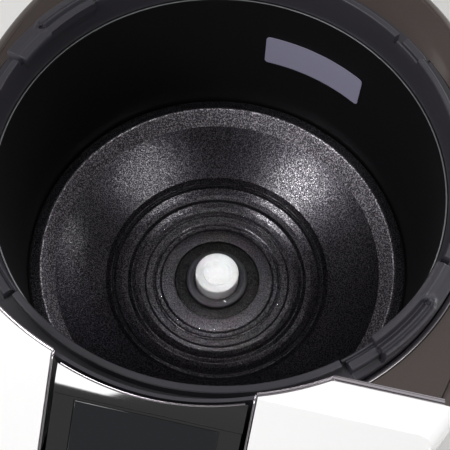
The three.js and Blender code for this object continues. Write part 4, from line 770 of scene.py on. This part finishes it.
# %% Body shell with its air slots and inlet hole
SHELL_STEPS = 150
WALL = 2.2
INLET_HALF, INLET_LOW, INLET_HIGH = 15.8, 45.2, 70.8
AIR_SLOTS, AIR_PITCH, AIR_WIDTH, AIR_MIDDLE, AIR_LOW, AIR_HIGH = 6, 7, 3, -52, 58.0, 94.0
REAR_WALL_Y, SLICE_MARGIN = 140, 12
openings = [(-INLET_HALF, INLET_HALF, INLET_LOW, INLET_HIGH)]
for i in range(AIR_SLOTS):
    slot_x = AIR_MIDDLE + (i - (AIR_SLOTS - 1) / 2) * AIR_PITCH
    openings.append((slot_x - AIR_WIDTH / 2, slot_x + AIR_WIDTH / 2, AIR_LOW, AIR_HIGH))


def slice_rear_wall(bm, low_x, high_x, place, normal):
    """Slices the wall's faces near an opening, and leaves all others whole."""
    near = []
    for face in bm.faces:
        x, y, _ = face.calc_center_median() / MM
        if y > REAR_WALL_Y and low_x - SLICE_MARGIN < x < high_x + SLICE_MARGIN:
            near.append(face)
    verts = list(dict.fromkeys(v for f in near for v in f.verts))
    edges = list(dict.fromkeys(e for f in near for e in f.edges))
    bmesh.ops.bisect_plane(bm, geom=verts + edges + near, plane_co=Vector(place) * MM, plane_no=normal)


def in_opening(_, x, y, z):
    return y > REAR_WALL_Y and any(x0 < x < x1 and z0 < z < z1 for x0, x1, z0, z1 in openings)


loops = []
for inset, z in wall_levels(deck_z):
    start = turn_at(SPLIT_Y, inset)
    loops.append([(*outline_point(t, inset), z) for t in np.linspace(start, math.pi - start, SHELL_STEPS)])
bm, _ = climbed(loops, False)
for x0, x1, z0, z1 in openings:
    for x in (x0, x1):
        slice_rear_wall(bm, x0, x1, (x, 0, 0), (1, 0, 0))
    for z in (z0, z1):
        slice_rear_wall(bm, x0, x1, (0, 0, z), (0, 0, 1))
cut_away(bm, in_opening)
turn_outwards(bm, away_from_well)
shell = finish_piece("body_wall", bm, brown_metal, "base", slot_of["body_shell"], "body_shell", sharp=50)
thicken(shell, WALL)

# %% Top deck, a flat plate with a round mouth
DECK_EDGE = SHOULDER_IN + SHOULDER + FIT
DECK_WALL, DECK_SOFT = 2.5, 0.25
MOUTH, MOUTH_STEPS = high_of("deck_ring", 0) + FIT, 160
start = turn_at(SPLIT_Y, DECK_EDGE)
outer = [outline_point(t, DECK_EDGE) for t in np.linspace(start, math.pi - start, SHELL_STEPS)]
mouth_turn = math.asin(SPLIT_Y / MOUTH)
inner = [(MOUTH * math.cos(t), MOUTH * math.sin(t))
         for t in np.linspace(math.pi - mouth_turn, mouth_turn, MOUTH_STEPS)]
bm = bmesh.new()
ring = [bm.verts.new((x * MM, y * MM, deck_z * MM)) for x, y in outer + inner]
ring_edges = [bm.edges.new(pair) for pair in zip(ring, ring[1:] + ring[:1])]
bmesh.ops.contextual_create(bm, geom=ring_edges)
turn_outwards(bm, lambda face: face.normal.z)
deck = finish_piece("deck_plate", bm, brown_metal, "base", slot_of["top_deck"], "top_deck", sharp=30)
thicken(deck, DECK_WALL, DECK_SOFT)

# %% Bright ring round the deck's mouth
RING_IN, RING_OUT, RING_FOOT = COLLAR_OUTER + FIT, high_of("deck_ring", 0), deck_z - 4.5
ring_section = rounded([(RING_IN, RING_FOOT, 0.2), (RING_OUT, RING_FOOT, 0.2), (RING_OUT, deck_z, 0.5),
                        (RING_IN + 1.6, deck_z - 0.35, 0.8), (RING_IN + 0.5, deck_z - 1.3, 0.5),
                        (RING_IN, deck_z - 3.0, 0.4)])
bm = spun(ring_section, 256)
bmesh.ops.bisect_plane(bm, geom=whole(bm), plane_co=(0, (SPLIT_Y + FIT) * MM, 0), plane_no=(0, -1, 0),
                       clear_outer=True)
bmesh.ops.holes_fill(bm, edges=bm.edges[:])
bmesh.ops.recalc_face_normals(bm, faces=bm.faces)
finish_piece("deck_ring_turned", bm, chrome, "base", slot_of["deck_ring"], "deck_ring", sharp=50)

# %% [markdown]
# ## The white fascia
# The fascia is a hood in front of the well. From above it is the body's front outline with a
# round bite for the collar and a slot for the control panel. That plan is climbed from the foot
# to the top, and one sloping slice then takes the front off at the panel's angle. Near the top
# the plan steps back from the rear edge and the bite, which leaves a rebate for the trims.

# %% Plan of the fascia
SLOPE = math.radians(42)
BROW_Y = -134.0
WHITE_R, WHITE_REAR, WHITE_SIDE = 140.4, -118.9, 45.2
INNER_R = 138.35
TIP_ROUND = 3.0
PANEL_LENGTH = 76.2
PANEL_LOW_Y = BROW_Y - PANEL_LENGTH * math.cos(SLOPE)
TIP_STEPS, ARC_POINTS, FRONT_POINTS = 6, 40, 130


def tip_points(radius, rear):
    """The rounded tip between the rear edge and the arc round the collar, on the right side."""
    centre_r = radius + TIP_ROUND
    cy = rear - TIP_ROUND
    cx = math.sqrt(centre_r ** 2 - cy ** 2)
    toward = math.atan2(-cy, -cx)
    return [(cx + TIP_ROUND * math.cos(a), cy + TIP_ROUND * math.sin(a))
            for a in np.linspace(math.pi / 2, toward, TIP_STEPS)]


def arc_from_tip(radius, tip, side, count):
    """Points round the collar, from the tip's last point to a distance from the middle."""
    first = math.atan2(tip[-1][0], -tip[-1][1])
    last = math.asin(side / radius)
    return [(radius * math.sin(a), -radius * math.cos(a)) for a in np.linspace(first, last, count)[1:]]


def fascia_loop(inset, z, radius, rear):
    """The fascia's plan at one level: its inner edge, and the body's outline round the front."""
    tip = tip_points(radius, rear)
    right = tip + arc_from_tip(radius, tip, WHITE_SIDE, ARC_POINTS) + [(WHITE_SIDE, PANEL_LOW_Y)]
    left = [(-x, y) for x, y in reversed(right)]
    start = turn_at(rear, inset)
    front = [outline_point(t, inset) for t in np.linspace(-math.pi - start, start, FRONT_POINTS)]
    front[0], front[-1] = (-outline_x(rear, inset), rear), (outline_x(rear, inset), rear)
    return [(x, y, z) for x, y in right + left + front]


# %% Climb the fascia, slice its front and open it from behind
REBATE_Z = fascia_z - 4.4
HIDDEN_DEPTH, HIDDEN_SHARE = 6, 0.93
FASCIA_SOFT = 0.7
levels = wall_levels(fascia_z)
insets, heights = zip(*levels)
rebate = (float(np.interp(REBATE_Z, heights, insets)), REBATE_Z)
loops = [fascia_loop(inset, z, INNER_R, SPLIT_Y) for inset, z in levels if z < REBATE_Z]
loops += [fascia_loop(*rebate, INNER_R, SPLIT_Y), fascia_loop(*rebate, WHITE_R, WHITE_REAR)]
loops += [fascia_loop(inset, z, WHITE_R, WHITE_REAR) for inset, z in levels if z >= REBATE_Z]
bm, top_loop = climbed(loops, True)
bmesh.ops.contextual_create(bm, geom=chain_edges(top_loop))
slope_normal = Vector((0, -math.sin(SLOPE), math.cos(SLOPE)))
cut = bmesh.ops.bisect_plane(bm, geom=whole(bm), plane_co=Vector((0, BROW_Y, fascia_z)) * MM,
                             plane_no=slope_normal, clear_outer=True)
rim = [e for e in cut["geom_cut"] if isinstance(e, bmesh.types.BMEdge) and len(e.link_faces) == 1]
bmesh.ops.triangle_fill(bm, use_beauty=True, use_dissolve=False, edges=rim, normal=slope_normal)


def behind_the_front(face, x, y, z):
    """The upright inner walls below the deck, which the shell and the panel hide."""
    share = abs(x / HALF_WIDTH) ** BODY_POWER + abs((y - CENTRE_Y) / HALF_DEPTH) ** BODY_POWER
    return z < deck_z - HIDDEN_DEPTH and share < HIDDEN_SHARE and abs(face.normal.z) < 0.5


cut_away(bm, behind_the_front)
bmesh.ops.recalc_face_normals(bm, faces=bm.faces)
if max(bm.faces, key=lambda f: f.calc_center_median().z).normal.z < 0:
    bmesh.ops.reverse_faces(bm, faces=bm.faces[:])
fascia = finish_piece("fascia_hood", bm, white_gloss, "base", slot_of["front_fascia"], "front_fascia",
                      sharp=30)
thicken(fascia, WALL - 0.4, FASCIA_SOFT, False)

# %% [markdown]
# ## Bright trims and the panel's frame
# A bright moulding runs along the fascia's rear edge, round its tip and along the collar's arc,
# and thinner strips frame the control panel. Each is a small rounded section carried along a
# path, which lies on the fascia's flat top and then follows its slope.

# %% Carry a strip's section along a path
def top_height(y):
    """Height of the fascia's surface: flat behind the brow, sloping in front of it."""
    return fascia_z + min(0.0, (y - BROW_Y) * math.tan(SLOPE))


def strip(path, half_widths, depth=2.2, rise=0.0, height=top_height):
    """A closed strip with a softly domed top along (x, y) points, with its half width at each."""
    section = ((-1, -depth), (-1, -0.25), (-0.8, -0.06), (0, 0.05), (0.8, -0.06), (1, -0.25), (1, -depth))
    points = np.array(path)
    along = np.gradient(points, axis=0)
    along /= np.linalg.norm(along, axis=1)[:, None]
    loops = []
    for (x, y), (dx, dy), half in zip(points, along, half_widths):
        loop = []
        for across, up in section:
            px, py = x - dy * across * half, y + dx * across * half
            loop.append((px, py, height(py) + up + rise))
        loops.append(loop)
    bm, _ = climbed(loops, True)
    bmesh.ops.holes_fill(bm, edges=bm.edges[:])
    bmesh.ops.recalc_face_normals(bm, faces=bm.faces)
    return bm


# %% Right and left trims along the rear edge, tip and arc
TRIM_R, TRIM_REAR, TRIM_SIDE = 139.25, -117.35, 44.2
TRIM_INSET = 0.4
REAR_HALF, ARC_HALF = 1.25, 0.65
trim_tip = tip_points(TRIM_R, TRIM_REAR)
trim_start = outline_x(TRIM_REAR, SHOULDER_IN + SHOULDER) - TRIM_INSET
trim_rear = [(x, TRIM_REAR) for x in np.linspace(trim_start, trim_tip[0][0], 24)[:-1]]
trim_arc = arc_from_tip(TRIM_R, trim_tip, TRIM_SIDE + TRIM_INSET, 50)
half_widths = [REAR_HALF] * len(trim_rear) + list(np.linspace(REAR_HALF, ARC_HALF, len(trim_tip)))
half_widths += [ARC_HALF] * len(trim_arc)
for side, name in ((1, "right"), (-1, "left")):
    bm = strip([(side * x, y) for x, y in trim_rear + trim_tip + trim_arc], half_widths)
    finish_piece(f"edge_trim_{name}", bm, chrome, "base", slot_of[f"fascia_trim_{name}"],
                 f"fascia_trim_{name}", sharp=60)

# %% Height of the panel's surface, which eases off towards the brow
BROW_LOW_Y = -147.0
PANEL_TILT, BROW_TILT = 42.0, 32.0


def panel_tilt(y):
    """Tilt of the panel at a place: steep below and easing towards the brow."""
    share = min(1.0, max(0.0, (y - BROW_LOW_Y) / (BROW_Y - BROW_LOW_Y)))
    return PANEL_TILT + (BROW_TILT - PANEL_TILT) * share


def panel_height(y):
    """Height of the panel's surface, found by adding up its tilt from the foot of the brow."""
    if y <= BROW_LOW_Y:
        return top_height(y)
    steps = np.linspace(BROW_LOW_Y, y, 17)
    tilts = np.tan(np.radians([panel_tilt(s) for s in steps]))
    return top_height(BROW_LOW_Y) + float(np.sum((tilts[1:] + tilts[:-1]) / 2 * np.diff(steps)))


print("brow:", round(panel_height(BROW_Y), 2), "mm high, and the fascia's top", round(fascia_z, 2))

# %% Frame of the panel: two sides with rounded corners, a bottom and an arc at the top
CORNER = 3.0
SIDE_HALF, BEZEL_HALF = 0.4, 0.38
BEZEL_R, BEZEL_HALF_ANGLE, BEZEL_DEPTH, BEZEL_RISE = 142.0, 16.6, 2.0, 0.15
FRAME_LOW, FRAME_BACK = PANEL_LOW_Y + 1.2, 0.2
side_top = -math.sqrt(TRIM_R ** 2 - TRIM_SIDE ** 2) - FRAME_BACK
side_line = [(TRIM_SIDE, y) for y in np.linspace(side_top, FRAME_LOW + CORNER, 30)]
corner_line = [(TRIM_SIDE - CORNER + CORNER * math.cos(a), FRAME_LOW + CORNER + CORNER * math.sin(a))
               for a in np.linspace(0, -math.pi / 2, 6)[1:]]
half_frame = side_line + corner_line
frame_path = half_frame + [(-x, y) for x, y in reversed(half_frame)]
frame_bm = strip(frame_path, [SIDE_HALF] * len(frame_path))
bezel_path = [(BEZEL_R * math.sin(a), -BEZEL_R * math.cos(a))
              for a in np.radians(np.linspace(-BEZEL_HALF_ANGLE, BEZEL_HALF_ANGLE, 60))]
bezel_bm = strip(bezel_path, [BEZEL_HALF] * len(bezel_path), BEZEL_DEPTH, BEZEL_RISE, panel_height)
bezel_mesh = bpy.data.meshes.new("bezel part")
bezel_bm.to_mesh(bezel_mesh)
bezel_bm.free()
frame_bm.from_mesh(bezel_mesh)
bpy.data.meshes.remove(bezel_mesh)
finish_piece("panel_frame", frame_bm, chrome, "base", slot_of["panel_bezel"], "panel_bezel", sharp=60)

# %% [markdown]
# ## Wall behind the panel
# A curved wall closes the hood between the panel and the collar. It gets the satin black finish because the
# photo shows no pale band there: the black is painted shade for this recess, where the fascia's moulding is
# white. A slot in its middle lets the latch's nose through to hold the lid, so the wall is climbed with a
# level at each of the slot's edges.

# %% Curved wall with the latch's slot
RING_LOW, RING_HIGH, SLOT_LOW, SLOT_HIGH, SLOT_HALF = 201.0, 232.0, 211.5, 219.6, 11.0
UNDER_PANEL, TOP_FORWARD = 2.9, 2
RING_WALL, RING_SOFT = 1.7, 0.2
slot_turn = math.asin(SLOT_HALF / INNER_R)
end_turn = math.asin(WHITE_SIDE / INNER_R)
turns = np.concatenate((np.linspace(-end_turn, -slot_turn, 20), np.linspace(-slot_turn, slot_turn, 9)[1:-1],
                        np.linspace(slot_turn, end_turn, 20)))
arc = [(INNER_R * math.sin(t), -INNER_R * math.cos(t)) for t in turns]
loops = [[(x, y, z) for x, y in arc] for z in (RING_LOW, SLOT_LOW, SLOT_HIGH, RING_HIGH)]
loops.append([(x, y, panel_height(y - TOP_FORWARD) - UNDER_PANEL) for x, y in arc])
bm, _ = climbed(loops, False)
cut_away(bm, lambda face, x, y, z: abs(x) < SLOT_HALF and SLOT_LOW < z < SLOT_HIGH)
turn_outwards(bm, lambda face: -away_from_well(face))
# Its black finish is painted shade for the recess behind the panel.
ring_wall = finish_piece("hood_ring_wall", bm, satin_black, "base", "satin_black", sharp=50)
thicken(ring_wall, RING_WALL, RING_SOFT)

# %% [markdown]
# ## The control panel
# The panel is a piano-black sheet. Its lower part, with the display window and the holes for
# the keys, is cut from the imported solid. Its top rolls over gently towards the brow, which is why a lamp
# shows up there as one clear white patch, so that part is a grid of its own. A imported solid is
# loose triangles, so its copy has its corners merged and its flat triangles joined first.

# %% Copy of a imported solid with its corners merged
def merged_copy(node):
    solid = frame["nodes"][node]
    bm = bmesh.new()
    bm.from_mesh(solid.data)
    bm.transform(solid.matrix_world)
    bmesh.ops.remove_doubles(bm, verts=bm.verts, dist=0.003 * MM)
    bmesh.ops.dissolve_limit(bm, angle_limit=math.radians(0.4), verts=bm.verts, edges=bm.edges)
    return bm


# %% Panel with a rolled brow
SHEET_R, SHEET_HALF, SHEET_WALL, SHEET_SOFT = 142.5, 41.9, 2.5, 0.2
BROW_GAP = 0.1
bm = merged_copy("control_panel")
bmesh.ops.bisect_plane(bm, geom=whole(bm), plane_co=Vector((0, BROW_LOW_Y, top_height(BROW_LOW_Y))) * MM,
                       plane_no=(0, math.cos(SLOPE), math.sin(SLOPE)), clear_outer=True)
bmesh.ops.holes_fill(bm, edges=bm.edges[:])
finish_piece("panel_sheet", bm, panel_gloss, "base", slot_of["control_panel"], "control_panel", sharp=26)
bm = bmesh.new()
bmesh.ops.create_grid(bm, x_segments=60, y_segments=16, size=0.5)
for vert in bm.verts:
    x = vert.co.x * 2 * SHEET_HALF
    arc_y = -math.sqrt(SHEET_R ** 2 - x ** 2)
    y = BROW_LOW_Y + BROW_GAP + (arc_y - BROW_LOW_Y - BROW_GAP) * (vert.co.y + 0.5)
    vert.co = Vector((x, y, panel_height(y))) * MM
turn_outwards(bm, lambda face: face.normal.z)
brow = finish_piece("panel_brow", bm, panel_gloss, "base", slot_of["control_panel"], sharp=30)
thicken(brow, SHEET_WALL, SHEET_SOFT)

# %% [markdown]
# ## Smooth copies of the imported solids
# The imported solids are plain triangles, and their round walls show flat facets. On a merged copy
# each edge can be told apart: a gentle one is shaded smooth and a real one stays sharp. A small
# bevel then rounds the real edges, as a mould or a press would leave them.

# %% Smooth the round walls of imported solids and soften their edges
MOULDED_SOFT = 0.3
for node in ("display_window", "lid_shell", "lid_liner", "inner_lid",
             "lid_gasket", "lock_ring", "lid_hinge_arm", "base_pan"):
    piece = finish_piece(node + "_smooth", merged_copy(node), finishes[slot_of[node]], body_of[node],
                         slot_of[node], node, sharp=26)
    soften(piece, MOULDED_SOFT, 2, 35)

# %% [markdown]
# ## Solids that keep their own shape
# The pieces that are right as packed stay as they are. Each only gets the finish of its slot.

# %% Dress the remaining solids
for node, solid in frame["nodes"].items():
    finish = finishes[slot_of[node]]
    for slot in solid.material_slots:
        slot.material = finish
    if not solid.material_slots:
        solid.data.materials.append(finish)
print("dressed", len(frame["nodes"]), "solids")

# %% [markdown]
# ## Floor and light
# The cooker stands on a pale worktop. Six soft lamps light it: a wide one overhead fills in, and
# a narrow one beside it lifts only the sensor cap. A lamp on the left and two on the right make
# the glows in the bowl and the streaks along the collar. The front one is what the panel's brow
# mirrors as a white patch.

# %% Floor and lamps
bm = bmesh.new()
bmesh.ops.create_grid(bm, x_segments=1, y_segments=1, size=4)
bmesh.ops.translate(bm, verts=bm.verts, vec=(0, 0, low_of("foot_front_left") * MM))
floor_mesh = bpy.data.meshes.new("floor")
bm.to_mesh(floor_mesh)
bm.free()
floor_material, _, _ = start_material("floor", colour(236, 235, 233), 0.6)
floor_mesh.materials.append(floor_material)
floor = bpy.data.objects.new("floor", floor_mesh)
bpy.context.scene.collection.objects.link(floor)


def soft_lamp(name, azimuth, elevation, distance, size, power, spread=180):
    """An area lamp that faces the well, at an angle round from the front and a height in degrees."""
    lamp = bpy.data.lights.new(name, "AREA")
    lamp.shape = "RECTANGLE"
    lamp.size, lamp.size_y = size
    lamp.energy = power
    lamp.spread = math.radians(spread)
    holder = bpy.data.objects.new(name, lamp)
    flat = math.cos(math.radians(elevation))
    away = Vector((flat * math.sin(math.radians(azimuth)), -flat * math.cos(math.radians(azimuth)),
                   math.sin(math.radians(elevation))))
    place = Vector((0, 0, ring_z * MM)) + away * distance
    holder.matrix_world = Matrix.Translation(place) @ (-away).to_track_quat("-Z", "Y").to_matrix().to_4x4()
    bpy.context.scene.collection.objects.link(holder)


soft_lamp("overhead", 190, 80, 1.6, (1.2, 1.2), 2.4)
soft_lamp("well", 190, 84, 1.5, (0.05, 0.05), 0.01, 4)
soft_lamp("left", -57, 57, 1.4, (0.42, 0.42), 6)
soft_lamp("right", 74, 58, 1.4, (0.5, 0.42), 2.6)
soft_lamp("right rear", 128, 30, 1.4, (0.5, 0.4), 8)
soft_lamp("front", -28, 36, 1.4, (0.8, 0.32), 6.5)

# %% [markdown]
# The room is a white backdrop, bright up to about 34 degrees above the horizon and dim from
# about 48 degrees up. The low light is strongest behind the cooker and weakest in front of it,
# to the left, which keeps the black panel dark. The bowl's steep band and every bright trim
# mirror it.

# %% A room that is bright near the floor and dim overhead
LOW_LIGHT_END, DIM_START = 0.56, 0.74
WEAKEST_WAY = (-0.42, -0.91, 0)
AWAY_FROM_WEAKEST, TOWARDS_WEAKEST = -0.6, 0.9
STRONGEST, WEAKEST, ALL_ROUND = 0.6, 0.16, 0.07
world = bpy.data.worlds.new("room")
world.use_nodes = True
sky = world.node_tree
direction = sky.nodes.new("ShaderNodeTexCoord").outputs["Generated"]
height = wired(sky, "ShaderNodeSeparateXYZ", {0: direction}).outputs["Z"]
low_light = wired(sky, "ShaderNodeMapRange", {"Value": height, "From Min": LOW_LIGHT_END,
                                              "From Max": DIM_START, "To Min": 1, "To Max": 0})
low_light.interpolation_type = "SMOOTHSTEP"
facing = wired(sky, "ShaderNodeVectorMath", {0: direction, 1: WEAKEST_WAY}, "DOT_PRODUCT").outputs["Value"]
front_light = wired(sky, "ShaderNodeMapRange",
                    {"Value": facing, "From Min": AWAY_FROM_WEAKEST, "From Max": TOWARDS_WEAKEST,
                     "To Min": STRONGEST, "To Max": WEAKEST})
brightness = wired(sky, "ShaderNodeMath", {0: low_light.outputs[0], 1: front_light.outputs[0],
                                           2: ALL_ROUND}, "MULTIPLY_ADD")
feed(sky, sky.nodes["Background"], {"Strength": brightness.outputs[0], "Color": (1, 1, 1, 1)})
bpy.context.scene.world = world
bpy.context.scene.view_settings.view_transform = "Standard"
